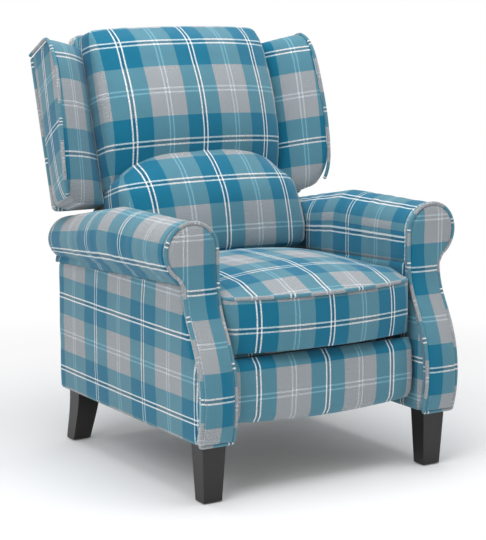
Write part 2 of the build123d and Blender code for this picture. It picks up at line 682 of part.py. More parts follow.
def footrest_bracket():
    """Angle bracket behind the board, with the footrest's pin."""
    board_back = FOOTREST_BACK_Y + BOARD_THICKNESS
    top = OTTOMAN_PIVOT_Z - SIDE_GAP
    pivot_y, pivot_z = FOOTREST_PIVOT
    shape = bar((board_back + LINK_RADIUS, pivot_z - LINK_RADIUS), FOOTREST_PIVOT, LINK_RADIUS)
    shape += side_polygon(
        (
            (board_back, top),
            (board_back, top - BRACKET_DEPTH),
            (board_back + PLATE_THICKNESS, top - BRACKET_DEPTH),
            (pivot_y, pivot_z - LINK_RADIUS),
            (board_back + LINK_RADIUS, pivot_z - LINK_RADIUS),
        )
    )
    web = prism_x(shape, BRACKET_X, BRACKET_X + PLATE_THICKNESS)
    web -= block(0, ARM_INNER_X, FOOTREST_BACK_Y, board_back, FOOTREST_BOTTOM_Z, FOOTREST_TOP_Z)
    foot_x = BRACKET_X - BRACKET_FOOT
    foot_back = board_back + PLATE_THICKNESS / 2
    foot = block(foot_x, BRACKET_X, board_back, foot_back, top - BRACKET_DEPTH, top)
    pin = rod_x(FOOTREST_PIVOT, PIVOT_RADIUS, BRACKET_X, OTTOMAN_FRONT_X + PLATE_THICKNESS)
    return web + foot + pin


# ---------------------------------------------------------------- back
def back_post():
    """Upright of the back frame, with the hole for the seat's pin."""
    x1 = SEAT_PLATE_X - SIDE_GAP
    post = tilted_block(
        x1 - POST_WIDTH, x1, BACK_PANEL, BACK_PANEL + POST_THICKNESS, BACK_FOOT, BACK_TOP - BACK_RAIL_HEIGHT
    )
    return post - rod_x(BACK_PIVOT, PIVOT_RADIUS + PIVOT_CLEARANCE, 0, SEAT_PLATE_X)


def back_rail(up):
    """Cross rail between the back posts, or on top of them."""
    half = SEAT_PLATE_X - SIDE_GAP
    if up < BACK_TOP - BACK_RAIL_HEIGHT:
        half -= POST_WIDTH
    return tilted_block(-half, half, BACK_PANEL, BACK_PANEL + POST_THICKNESS, up, up + BACK_RAIL_HEIGHT)


def outside_back():
    """Padded rear panel: as wide as the wings above the arms, and narrow between them."""
    upper = tilted_block(-WING_OUTER_X, WING_OUTER_X, 0, BACK_PANEL, WING_FOOT, BACK_TOP)
    lower = tilted_block(-SEAT_HALF_WIDTH, SEAT_HALF_WIDTH, 0, BACK_PANEL, BACK_PANEL_FOOT, WING_FOOT)
    return upper + lower


def cushion_section(up, inset, side, middle):
    """A back cushion cut across: flat behind, crowned in front, rounded at the corners."""
    half = SEAT_HALF_WIDTH - inset
    back = BACK_PANEL + POST_THICKNESS
    radius = min(CUSHION_CORNER, (side - back) / 2)
    inset = radius * (1 - cos(radians(45)))
    sides = []
    for sign in (1, -1):
        sides.append(
            ThreePointArc(
                back_point(sign * half, side - radius, up),
                back_point(sign * (half - inset), side - inset, up),
                back_point(sign * (half - radius), side, up),
            )
        )
    right, left = sides
    crown = ThreePointArc(right @ 1, back_point(0, middle, up), left @ 1)
    rear = Polyline(left @ 0, back_point(-half, back, up), back_point(half, back, up), right @ 0)
    return make_face([right, crown, left, rear])


def cushion(stations):
    return loft([cushion_section(*station) for station in stations])


def upper_cushion():
    """Head cushion, whose foot lies behind the top of the lumbar cushion."""
    return cushion(UPPER_CUSHION) - cushion(LUMBAR_CUSHION)


def wing_front():
    """Front edge of a wing in the tilted side view, as three arcs from its foot to its top."""
    long_curve = ThreePointArc(WING_ELBOW, WING_MIDDLE, WING_SHOULDER)
    foot = TangentArc(WING_ELBOW, (WING_FOOT_DEPTH, WING_FOOT), tangent=-(long_curve % 0))
    top = TangentArc(WING_SHOULDER, WING_TOP, tangent=long_curve % 1)
    return foot, long_curve, top


def wing_section(depth, up):
    """A wing cut across: it swells inwards from its front edge to the back cushion."""
    edge = Vector(WING_OUTER_X, depth)
    root = Vector(WING_INNER_X, WING_ROOT_DEPTH)
    swell = (edge + root) / 2 + (edge - root).rotate(Axis.Z, 90).normalized() * WING_BELLY
    arc = ThreePointArc(*(back_point(point.X, point.Y, up) for point in (edge, swell, root)))
    rear = [back_point(x, BACK_PANEL, up) for x in (WING_INNER_X, WING_OUTER_X)]
    return make_face([arc, Polyline(arc @ 1, *rear, arc @ 0)])


def wing():
    """Padded wing, from its foot over the arm to its top."""
    foot, long_curve, top = wing_front()
    points = [foot @ 1, foot @ 0.5]
    points += [long_curve @ share for share in (0, 0.25, 0.5, 0.75, 1)]
    points += [top @ 0.5, top @ 1]
    return loft([wing_section(point.X, point.Y) for point in points])


def wing_piping():
    """Piping that lies on the wing's front edge, bent in the same three arcs."""
    out = (PIPING_RADIUS + SOFT_GAP) * cos(radians(45))
    edges = []
    for arc in wing_front():
        stops = [arc @ share for share in (0, 0.5, 1)]
        edges.append(ThreePointArc(*(back_point(WING_OUTER_X + out, stop.X + out, stop.Y) for stop in stops)))
    path = Wire(edges)
    return sweep(Plane(path @ 0, z_dir=path % 0) * Circle(PIPING_RADIUS), path=path) - wing()


# ---------------------------------------------------------------- the pieces
def one_side():
    """Pieces that the chair has on the right, and mirrored on the left."""
    front_bolt = leg_bolt(FRONT_LEG_Y)
    rear_bolt = leg_bolt(REAR_LEG_TOP_Y + BOLT_RADIUS)
    return {
        "arm_outer_panel": outer_panel(),
        "arm_inner_panel": inner_panel() - base_screws(),
        "arm_roll": arm_roll(),
        "arm_facing": facing(),
        "facing_piping": facing_piping(),
        "arm_front_post": front_post(),
        "arm_rear_post": rear_post(),
        "arm_top_rail": upper_arm_rail(),
        "arm_sill": arm_sill(),
        "front_leg": front_leg() - front_bolt,
        "rear_leg": rear_leg() - rear_bolt,
        "base_plate": base_plate(),
        "seat_side_rail": seat_side_rail(),
        "back_post": back_post(),
        "wing": wing(),
        "wing_piping": wing_piping(),
    }


def paired():
    """Small or repeated pieces that share one node as separate solids."""
    bolts = Compound([leg_bolt(y).solid() for y in (FRONT_LEG_Y, REAR_LEG_TOP_Y + BOLT_RADIUS)])
    glides = Compound([glide(y).solid() for y in (FRONT_LEG_Y, REAR_LEG_TOP_Y + REAR_LEG_SWEEP)])
    return {
        "leg_bolts": pair(bolts),
        "leg_glides": pair(glides),
        "base_screws": pair(base_screws()),
        "base_pivot_pins": pair(base_pins()),
        "seat_plates": pair(seat_plate()),
        "seat_pivot_pins": pair(seat_pins()),
        "front_swing_links": pair(swing_link(0, PIVOT_CLEARANCE)),
        "rear_swing_links": pair(swing_link(1, OPEN_PIVOT_CLEARANCE)),
        "ottoman_rear_links": pair(ottoman_rear_link()),
        "ottoman_front_links": pair(ottoman_front_link()),
        "footrest_brackets": pair(footrest_bracket()),
    }


def middle_pieces():
    """Pieces that the chair has once."""
    return {
        "front_stretcher": stretcher(),
        "rear_apron": rear_apron(),
        "swing_torsion_tube": swing_tube(),
        "seat_front_rail": seat_cross_rail(BORDER_BACK_Y),
        "seat_rear_rail": seat_cross_rail(SEAT_FRAME_REAR_Y - SEAT_RAIL_THICKNESS),
        "seat_springs": seat_springs(),
        "seat_cushion": seat_cushion(),
        "seat_border": seat_border(),
        "seat_piping": seat_piping(),
        "ottoman_cross_tube": ottoman_tube(),
        "footrest_board": footrest_board(),
        "footrest_pad": footrest_pad(),
        "back_top_rail": back_rail(BACK_TOP - BACK_RAIL_HEIGHT),
        "back_lower_rail": back_rail(LOWER_RAIL_UP),
        "outside_back": outside_back(),
        "upper_cushion": upper_cushion(),
        "lumbar_cushion": cushion(LUMBAR_CUSHION),
    }


def chair():
    """Every piece by name, with the origin under the middle of the chair's outline."""
    pieces = {}
    for name, piece in one_side().items():
        pieces[f"{name}_right"] = piece
        pieces[f"{name}_left"] = mirrored(piece)
    pieces.update(paired())
    pieces.update(middle_pieces())
    middle_y = outline_middle(pieces.values())
    return {name: Pos(0, -middle_y, 0) * piece for name, piece in pieces.items()}, middle_y


def outline_middle(pieces):
    """Y halfway between the chair's foremost and rearmost points."""
    boxes = [piece.bounding_box() for piece in pieces]
    return (min(box.min.Y for box in boxes) + max(box.max.Y for box in boxes)) / 2


PIECES, MIDDLE_Y = chair()

if __name__ == "__main__":
    os.makedirs("parts", exist_ok=True)
    for name, piece in PIECES.items():
        export_step(piece, f"parts/{name}.step")
    print(len(PIECES), "pieces, drawn", round(MIDDLE_Y, 3), "mm behind the origin")
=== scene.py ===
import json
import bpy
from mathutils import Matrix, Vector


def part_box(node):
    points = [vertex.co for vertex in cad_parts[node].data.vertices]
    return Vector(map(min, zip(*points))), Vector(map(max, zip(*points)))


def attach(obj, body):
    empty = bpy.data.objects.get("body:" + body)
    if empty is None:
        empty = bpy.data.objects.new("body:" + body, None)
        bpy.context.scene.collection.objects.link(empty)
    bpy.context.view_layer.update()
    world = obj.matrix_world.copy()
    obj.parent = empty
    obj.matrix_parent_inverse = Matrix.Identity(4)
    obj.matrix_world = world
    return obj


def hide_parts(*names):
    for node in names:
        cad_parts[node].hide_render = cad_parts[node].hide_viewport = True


bl_info = {
    "name": "Push-back wing chair",
    "version": (1, 0, 0),
    "blender": (4, 5, 0),
    "location": "View3D > Sidebar > Wing chair",
    "description": "Upholsters the frame of a push-back wing chair in a woven check",
    "category": "Object",
}

import bpy
import numpy as np
from bpy.props import FloatProperty, FloatVectorProperty, PointerProperty
from mathutils import Matrix, Vector

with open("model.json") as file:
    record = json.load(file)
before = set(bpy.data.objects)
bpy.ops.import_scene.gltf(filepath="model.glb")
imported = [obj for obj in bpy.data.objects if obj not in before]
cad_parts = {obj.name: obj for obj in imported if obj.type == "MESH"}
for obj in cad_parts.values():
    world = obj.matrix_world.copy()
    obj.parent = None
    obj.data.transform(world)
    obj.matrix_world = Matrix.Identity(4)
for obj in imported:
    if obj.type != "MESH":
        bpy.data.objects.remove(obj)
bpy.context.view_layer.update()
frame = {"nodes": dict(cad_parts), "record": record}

# All lengths are in metres. X runs across the chair, Y from front to back and Z up.
# Depths are first measured from the front face of the front feet, as on the bench.
FRONT_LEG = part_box("front_leg_right")
FOOT_DEPTH = 0.039
ORIGIN_Y = (FRONT_LEG[0].y + FRONT_LEG[1].y - FOOT_DEPTH) / 2
SIDES = (("right", 1), ("left", -1))

# Arms
ARM_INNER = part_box("arm_inner_panel_right")[0].x
ARM_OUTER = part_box("arm_outer_panel_right")[1].x
COVER_LAP = 0.004
ARM_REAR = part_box("arm_rear_post_right")[1].y - ORIGIN_Y + COVER_LAP
ARM_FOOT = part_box("arm_outer_panel_right")[0].z - 0.002
ROLL_RADIUS = 0.067
ROLL_TOP = 0.642
ROLL_BEND = 0.382
ROLL_TAPER = 0.21
ROLL_MITRE = 0.071
ROLL_WEAVE = ((0.067, 0.249), (0.310, 0.274), (1.0, 0.80))  # starts and stretch, right and left
ROLL_REAR_TOP = 0.578
ROLL_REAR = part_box("arm_roll_right")[1].y - ORIGIN_Y
SEAM_FRONT = 0.500
SEAM_REAR = 0.466
NECK_ANGLE = 60
FACE_UPPER = 0.046
FACING = 0.022
FACE_HEIGHTS = (0.143, 0.185, 0.240, 0.299, 0.343, 0.383, 0.426, 0.462, 0.500, 0.660)
FACE_DEPTHS = (-0.020, -0.030, -0.034, -0.027, -0.013, 0.006, 0.029, 0.041, 0.046, 0.046)

# Back, in its tilted frame: forward of the rear face, and up along it
BACK_TILT = np.radians(17)
BACK_Y = 0.690
BACK_Z = 0.600
BACK_PANEL = 0.012
CUSHION_BACK = 0.044
UPPER_STATIONS = (  # up, half width, depth at the side, depth in the middle
    (0.020, 0.252, 0.084, 0.110),
    (0.076, 0.255, 0.108, 0.148),
    (0.125, 0.256, 0.124, 0.172),
    (0.215, 0.258, 0.132, 0.187),
    (0.330, 0.257, 0.126, 0.176),
    (0.412, 0.254, 0.110, 0.148),
    (0.446, 0.250, 0.094, 0.112),
)
LUMBAR_STATIONS = (
    (-0.165, 0.257, 0.172, 0.200),
    (-0.120, 0.261, 0.182, 0.216),
    (-0.060, 0.261, 0.180, 0.225),
    (-0.008, 0.258, 0.172, 0.222),
    (0.030, 0.254, 0.162, 0.210),
    (0.070, 0.248, 0.146, 0.190),
    (0.112, 0.238, 0.122, 0.156),
)
WING_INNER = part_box("wing_right")[0].x
WING_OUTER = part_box("wing_right")[1].x
WING_EDGE = (  # up, how far the front edge stands forward, and how far out
    (-0.004, 0.104, 0.3745),
    (0.010, 0.114, 0.3800),
    (0.030, 0.126, 0.3865),
    (0.060, 0.137, 0.3915),
    (0.100, 0.146, 0.3930),
    (0.150, 0.154, 0.3925),
    (0.200, 0.160, 0.3905),
    (0.250, 0.163, 0.3880),
    (0.300, 0.164, 0.3850),
    (0.350, 0.160, 0.3830),
    (0.380, 0.151, 0.3820),
    (0.402, 0.138, 0.3800),
    (0.418, 0.118, 0.3770),
)
WING_REAR_TOP = 0.402
WING_FOOT_ROUND = 0.016
WING_ROOT = 0.066

# Seat and footrest
SEAT_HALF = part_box("seat_cushion")[1].x
SEAT_FRONT = -0.010
SEAT_CORNER = 0.023
SEAT_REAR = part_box("seat_cushion")[1].y - ORIGIN_Y
SEAT_EDGE = 0.462
SEAT_SIDE = 0.480
SEAT_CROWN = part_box("seat_cushion")[1].z
BORDER_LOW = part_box("seat_border")[0].z
BORDER_BACK = 0.062
FOOTREST_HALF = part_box("footrest_pad")[1].x
FOOTREST_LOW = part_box("footrest_pad")[0].z
FOOTREST_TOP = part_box("footrest_pad")[1].z
FOOTREST_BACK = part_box("footrest_pad")[1].y - ORIGIN_Y

# The camera that saw the chair
LENS = 118.15
CAMERA_AT = (-2.2986, -3.3594, 1.1789)
CAMERA_YAW = 31.6
CAMERA_PITCH = 9.304


# ---------------------------------------------------------------- sizes and colours that a user would change
class WingChairFabric(bpy.types.PropertyGroup):
    teal: FloatVectorProperty(
        name="Teal yarn", description="Colour of the teal bands", subtype="COLOR", default=(0.0, 0.158, 0.272)
    )
    grey: FloatVectorProperty(
        name="Grey yarn",
        description="Colour of the grey bands",
        subtype="COLOR",
        default=(0.340, 0.366, 0.388),
    )
    stripe: FloatVectorProperty(
        name="Stripe yarn",
        description="Colour of the fine double stripes",
        subtype="COLOR",
        default=(0.86, 0.88, 0.88),
    )
    across: FloatProperty(
        name="Repeat across", description="Width of one teal and one grey band", unit="LENGTH", default=0.189
    )
    along: FloatProperty(
        name="Repeat along", description="Height of one teal and one grey band", unit="LENGTH", default=0.250
    )
    stripe_gap: FloatProperty(
        name="Stripe gap", description="Distance between the two fine stripes", unit="LENGTH", default=0.0105
    )
    stripe_width: FloatProperty(
        name="Stripe width", description="Width of one fine stripe", unit="LENGTH", default=0.0036
    )
    piping: FloatProperty(
        name="Piping radius", description="Radius of the covered cord", unit="LENGTH", default=0.0050
    )


class WingChairPadding(bpy.types.PropertyGroup):
    panel: FloatProperty(
        name="Panel padding", description="How far the arm panels swell", unit="LENGTH", default=0.005
    )
    pucker: FloatProperty(
        name="Puckers", description="Depth of the small folds beside the seams", unit="LENGTH", default=0.0016
    )


class WingChairStage(bpy.types.PropertyGroup):
    floor: FloatVectorProperty(
        name="Floor", description="Colour of the floor", subtype="COLOR", default=(0.97, 0.97, 0.98)
    )
    key: FloatProperty(name="Key light", description="Strength of the main lamp", unit="POWER", default=62.0)


def settings():
    return bpy.context.scene.wing_chair_fabric, bpy.context.scene.wing_chair_padding


# ---------------------------------------------------------------- shapes worked out with numpy
def at(y):
    """A depth from the front feet's face, as Y of the chair's own frame."""
    return y + ORIGIN_Y


def ease(low, high, x):
    """0 under low, 1 over high and a smooth S between them."""
    t = np.clip((x - low) / (high - low), 0, 1)
    return t * t * (3 - 2 * t)


def through(stations, column, up):
    """A smooth value over up through the given stations: cubic steps with averaged slopes."""
    table = np.array(stations)
    x, y = table[:, 0], table[:, column]
    slope = np.gradient(y, x)
    i = np.clip(np.searchsorted(x, up) - 1, 0, len(x) - 2)
    step = x[i + 1] - x[i]
    t = np.clip((up - x[i]) / step, 0, 1)
    first = (1 + 2 * t) * (1 - t) ** 2 * y[i] + t * (1 - t) ** 2 * step * slope[i]
    last = t * t * (3 - 2 * t) * y[i + 1] - t * t * (1 - t) * step * slope[i + 1]
    return first + last


def lattice(cells):
    """Closed skin of a block of cells: corners in -1..1, quads that face outwards, and each quad's axis."""
    quads, axes = [], []
    for axis in range(3):
        u, v = (axis + 1) % 3, (axis + 2) % 3
        for end, corners in ((0, ((0, 0), (0, 1), (1, 1), (1, 0))), (1, ((0, 0), (1, 0), (1, 1), (0, 1)))):
            grids = np.meshgrid(np.arange(cells[u]), np.arange(cells[v]), indexing="ij")
            i, j = (grid.ravel() for grid in grids)
            quad = np.zeros((i.size, 4, 3), int)
            for corner, (du, dv) in enumerate(corners):
                quad[:, corner, axis] = end * cells[axis]
                quad[:, corner, u] = i + du
                quad[:, corner, v] = j + dv
            quads.append(quad)
            axes.append(np.full(i.size, axis))
    quads = np.concatenate(quads)
    points, index = np.unique(quads.reshape(-1, 3), axis=0, return_inverse=True)
    return points / np.array(cells) * 2 - 1, index.reshape(-1, 4), np.concatenate(axes)


def rounded(points, half, radius):
    """A block of the given half sizes with its edges and corners rounded by one radius."""
    full = points * np.array(half)
    core = np.clip(full, radius - np.array(half), np.array(half) - radius)
    out = full - core
    length = np.linalg.norm(out, axis=1, keepdims=True)
    reach = np.minimum(radius, length.max())
    return core + np.where(length > 1e-9, out / np.maximum(length, 1e-9) * reach, 0)


def folds(x, y, seed, wave):
    """Small uneven folds: a sum of sines in random directions, from -1 to 1."""
    random = np.random.default_rng(seed)
    total = 0
    for _ in range(6):
        angle, phase = random.uniform(0, np.pi), random.uniform(0, 2 * np.pi)
        length = wave * random.uniform(0.7, 1.6)
        total = total + np.sin(2 * np.pi * (x * np.cos(angle) + y * np.sin(angle)) / length + phase)
    return total / 6


def tilted(x, forward, up):
    """Points of the tilted back, as columns of X, Y and Z."""
    y = at(BACK_Y) - forward * np.cos(BACK_TILT) + up * np.sin(BACK_TILT)
    z = BACK_Z + forward * np.sin(BACK_TILT) + up * np.cos(BACK_TILT)
    return np.stack([x, y, z], axis=-1)


def face_depth(z):
    """Depth of the S-curved arm front at a height."""
    return through(np.stack([FACE_HEIGHTS, FACE_DEPTHS], axis=-1), 1, z)


def seam(y):
    """Height of the seam under the arm roll."""
    return SEAM_FRONT + (SEAM_REAR - SEAM_FRONT) * (y - FACE_UPPER) / (ROLL_REAR - FACE_UPPER)


def roll_top(y):
    """Height of the arm roll: level in front, then straight down behind the mitred bend."""
    share = np.clip((y - ROLL_BEND) / (ROLL_REAR - ROLL_BEND), 0, 1)
    return ROLL_TOP - (ROLL_TOP - ROLL_REAR_TOP) * share


def roll_radius(y):
    """Half the width of the arm roll, which is slimmer at the back."""
    return ROLL_RADIUS * (1 - ROLL_TAPER * ease(ROLL_BEND, ROLL_REAR, y))


def bow(x, half, corner, front, radius):
    """Plan of a bowed front: an arc of small rise whose ends turn back in rounded corners."""
    reach = half - radius
    inner = np.clip(np.abs(x) / reach, 0, 1)
    outer = np.clip((np.abs(x) - reach) / radius, 0, 1)
    return front + (corner - front) * inner ** 2 + radius * (1 - np.sqrt(np.clip(1 - outer ** 2, 0, 1)))


def scroll(angle, top, low, radius=ROLL_RADIUS, grow=0.0):
    """Outline of the arm roll in X and Z at an angle: a circle that is flatter where the arm is lower."""
    rise = ROLL_RADIUS * (top - low) / (ROLL_TOP - SEAM_FRONT) + grow
    across = radius + grow
    return ARM_INNER + radius + across * np.cos(angle), top + grow - rise + rise * np.sin(angle)


def roll_ring(top, low, radius, columns):
    """Cross sections of the arm roll: the scroll, then straight lines over neck, seam and inner side."""
    sweep = np.radians(np.linspace(180, -NECK_ANGLE, columns - 18))[None, :]
    curve_x, curve_z = scroll(sweep, top, low, radius)
    curve_x = curve_x + 0 * top
    share = np.linspace(0, 1, 20)[None, 1:-1]
    stops = (0.0, 0.15, 0.7, 1.0)
    corners_x = (curve_x[:, -1:], ARM_OUTER + 0 * top, ARM_INNER + 0 * top, curve_x[:, :1])
    corners_z = (curve_z[:, -1:], low, low, curve_z[:, :1])
    straight = []
    for corners in (corners_x, corners_z):
        value = corners[0] + 0 * share
        for k in range(3):
            part = np.clip((share - stops[k]) / (stops[k + 1] - stops[k]), 0, 1)
            value = value + part * (corners[k + 1] - corners[k])
        straight.append(value)
    return np.concatenate([curve_x, straight[0]], axis=1), np.concatenate([curve_z, straight[1]], axis=1)


def tube(path, radius, sides=10, closed=False):
    """A round cord along a path: rings square to it, turned as little as possible from one to the next."""
    ahead = np.roll(path, -1, axis=0) - np.roll(path, 1, axis=0)
    if not closed:
        ahead[0], ahead[-1] = path[1] - path[0], path[-1] - path[-2]
    ahead /= np.linalg.norm(ahead, axis=1, keepdims=True)
    side = np.cross(ahead, (0.0, 0.0, 1.0))
    flat = np.linalg.norm(side, axis=1) < 0.2
    side[flat] = np.cross(ahead[flat], (0.0, 1.0, 0.0))
    side /= np.linalg.norm(side, axis=1, keepdims=True)
    for step in range(1, len(side)):
        turned = side[step - 1] - ahead[step] * side[step - 1].dot(ahead[step])
        side[step] = turned / np.linalg.norm(turned)
    over = np.cross(side, ahead)
    angle = np.linspace(0, 2 * np.pi, sides, endpoint=False)
    ring = np.cos(angle)[None, :, None] * side[:, None] + np.sin(angle)[None, :, None] * over[:, None]
    points = path[:, None] + radius * ring
    count = len(path)
    i, j = np.meshgrid(np.arange(count if closed else count - 1), np.arange(sides), indexing="ij")
    after, beside = (i + 1) % count, (j + 1) % sides
    quads = np.stack([i * sides + j, i * sides + beside, after * sides + beside, after * sides + j], axis=-1)
    travel = np.concatenate([[0], np.cumsum(np.linalg.norm(np.diff(path, axis=0), axis=1))])
    gap = travel[-1] + np.linalg.norm(path[0] - path[-1]) * closed
    ahead_u = np.append(travel, gap)
    u = np.stack([ahead_u[i], ahead_u[i], ahead_u[i + 1], ahead_u[i + 1]], axis=-1)
    v = np.stack([j, j + 1, j + 1, j], axis=-1) * (2 * np.pi * radius / sides)
    faces = [tuple(quad) for quad in quads.reshape(-1, 4)]
    uv = np.stack([u, v], axis=-1).reshape(-1, 2)
    if not closed:
        faces += [tuple(range(sides - 1, -1, -1)), tuple(range((count - 1) * sides, count * sides))]
        uv = np.concatenate([uv, np.zeros((2 * sides, 2))])
    return points.reshape(-1, 3), faces, uv


# ---------------------------------------------------------------- meshes
def put(name, points, faces, uv, material, body, slot, nodes=(), levels=0):
    """Makes a smooth piece with a weave map, gives it its material and lets it ride on a body."""
    mesh = bpy.data.meshes.new(name)
    mesh.from_pydata(np.asarray(points).tolist(), [], [tuple(int(i) for i in face) for face in faces])
    layer = mesh.uv_layers.new(name="weave")
    layer.data.foreach_set("uv", np.asarray(uv, np.float32).ravel())
    mesh.polygons.foreach_set("use_smooth", np.ones(len(mesh.polygons), bool))
    mesh.materials.append(material)
    mesh.update()
    piece = bpy.data.objects.new(name, mesh)
    bpy.context.scene.collection.objects.link(piece)
    if levels:
        fine = piece.modifiers.new("finish", "SUBSURF")
        fine.levels = fine.render_levels = levels
        fine.uv_smooth = "PRESERVE_BOUNDARIES"
    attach(piece, body)
    if nodes:
        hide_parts(*nodes)
    return piece


def put_cover(name, made, body, nodes):
    """Puts in a padded piece of the check fabric."""
    piece = put(name, *made, finish_of("check_fabric"), body, "check_fabric", nodes)


def put_cord(name, made, body, node):
    """Puts in a piece of covered cord."""
    put(name, *made, finish_of("piping_fabric"), body, "piping_fabric", (node,), 1)


def ring_quads(rows, columns, turned=False):
    """Quads between rings of points that each close on themselves."""
    i, j = (part.ravel() for part in np.meshgrid(np.arange(rows - 1), np.arange(columns), indexing="ij"))
    beside = (j + 1) % columns
    corners = [i * columns + j, i * columns + beside, (i + 1) * columns + beside, (i + 1) * columns + j]
    if turned:
        corners = [corners[0], corners[3], corners[2], corners[1]]
    return i, j, np.stack(corners, axis=-1)


def mirrored(points, quads, uv, sign):
    """The same shape for the other side of the chair, with its faces turned round again."""
    if sign > 0:
        return points, quads, uv
    flipped = points * np.array((-1.0, 1.0, 1.0))
    corners = uv.reshape(len(quads), -1, 2)[:, ::-1] * np.array((-1.0, 1.0))
    return flipped, np.asarray(quads)[:, ::-1], corners.reshape(-1, 2)


def box_weave(local, quads, axes, centre=(0.0, 0.0), stretch=(1.0, 1.0)):
    """Weave map of a padded block: X and height on its front, and round its corners on its sides and top."""
    corner = local[quads]
    x, y, z = corner[..., 0], corner[..., 1], corner[..., 2]
    front = local[:, 1].min()
    side = np.sign(x.mean(axis=1, keepdims=True))
    over = np.where(z.mean(axis=1, keepdims=True) > local[:, 2].mean(), 1, -1)
    axis = axes[:, None]
    u = np.where(axis == 0, x + side * (y - front), x)
    v = np.where(axis == 2, z + over * (y - front), z)
    return (np.stack([u - centre[0], v - centre[1]], axis=-1) * np.array(stretch)).reshape(-1, 2)


# ---------------------------------------------------------------- materials
def node_of(tree, kind, **sockets):
    """A shader node with some inputs set or linked, by name or by number after an underscore."""
    node = tree.nodes.new(kind)
    for key, value in sockets.items():
        if key.startswith("_"):
            socket = node.inputs[int(key[1:])]
        elif key in node.inputs:
            socket = node.inputs[key]
        else:
            setattr(node, key, value)
            continue
        if isinstance(value, bpy.types.NodeSocket):
            tree.links.new(value, socket)
        else:
            socket.default_value = value
    return node


def sum_of(tree, operation, first, second=0.0, third=0.0):
    """The output of one Math node."""
    return node_of(tree, "ShaderNodeMath", operation=operation, _0=first, _1=second, _2=third).outputs[0]


def mix_of(tree, share, first, second, blend="MIX"):
    """The colour output of one Mix node."""
    mix = tree.nodes.new("ShaderNodeMix")
    mix.data_type = "RGBA"
    mix.blend_type = blend
    for index, value in ((0, share), (6, first), (7, second)):
        if isinstance(value, bpy.types.NodeSocket):
            tree.links.new(value, mix.inputs[index])
        else:
            mix.inputs[index].default_value = value
    return mix.outputs[2]


def new_group(name, inputs, outputs):
    """An empty shader node group with its sockets, and its two end nodes."""
    tree = bpy.data.node_groups.new(name, "ShaderNodeTree")
    for label, kind, default in inputs:
        socket = tree.interface.new_socket(label, in_out="INPUT", socket_type=kind)
        if default is not None:
            socket.default_value = default
    for label, kind in outputs:
        tree.interface.new_socket(label, in_out="OUTPUT", socket_type=kind)
    return tree, tree.nodes.new("NodeGroupInput"), tree.nodes.new("NodeGroupOutput")


def new_material(name, roughness, **plain):
    """A material with a Principled surface whose unvarying values are set on its own sockets."""
    material = bpy.data.materials.new(name)
    material.use_nodes = True
    surface = material.node_tree.nodes["Principled BSDF"]
    surface.inputs["Roughness"].default_value = roughness
    for key, value in plain.items():
        surface.inputs[key.replace("_", " ")].default_value = value
    return material, material.node_tree, surface


def band_yarn(tree, place, repeat, yarns, cover, fabric):
    """Yarns that run one way: two bands with a double stripe each, and how far a stripe covers."""
    share = sum_of(tree, "FRACT", sum_of(tree, "ADD", sum_of(tree, "DIVIDE", place, repeat), 0.25))
    ramp = tree.nodes.new("ShaderNodeValToRGB")
    ramp.color_ramp.interpolation = "CONSTANT"
    inner = (fabric.stripe_gap - fabric.stripe_width) / 2 / repeat
    outer = (fabric.stripe_gap + fabric.stripe_width) / 2 / repeat
    teal, grey, deep, bright, faint = ((*colour, 0.0) for colour in yarns)
    bright = (*bright[:3], cover)
    stops = []
    for band, ground, line, between in ((0.25, teal, bright, deep), (0.75, grey, faint, grey)):
        stops += [(band - 0.25, ground), (band - outer, line), (band - inner, between)]
        stops += [(band + inner, line), (band + outer, ground)]
    elements = ramp.color_ramp.elements
    elements[0].position, elements[0].color = stops[0]
    elements[1].position, elements[1].color = stops[-1]
    for position, colour in stops[1:-1]:
        elements.new(position).color = colour
    tree.links.new(share, ramp.inputs[0])
    return ramp.outputs


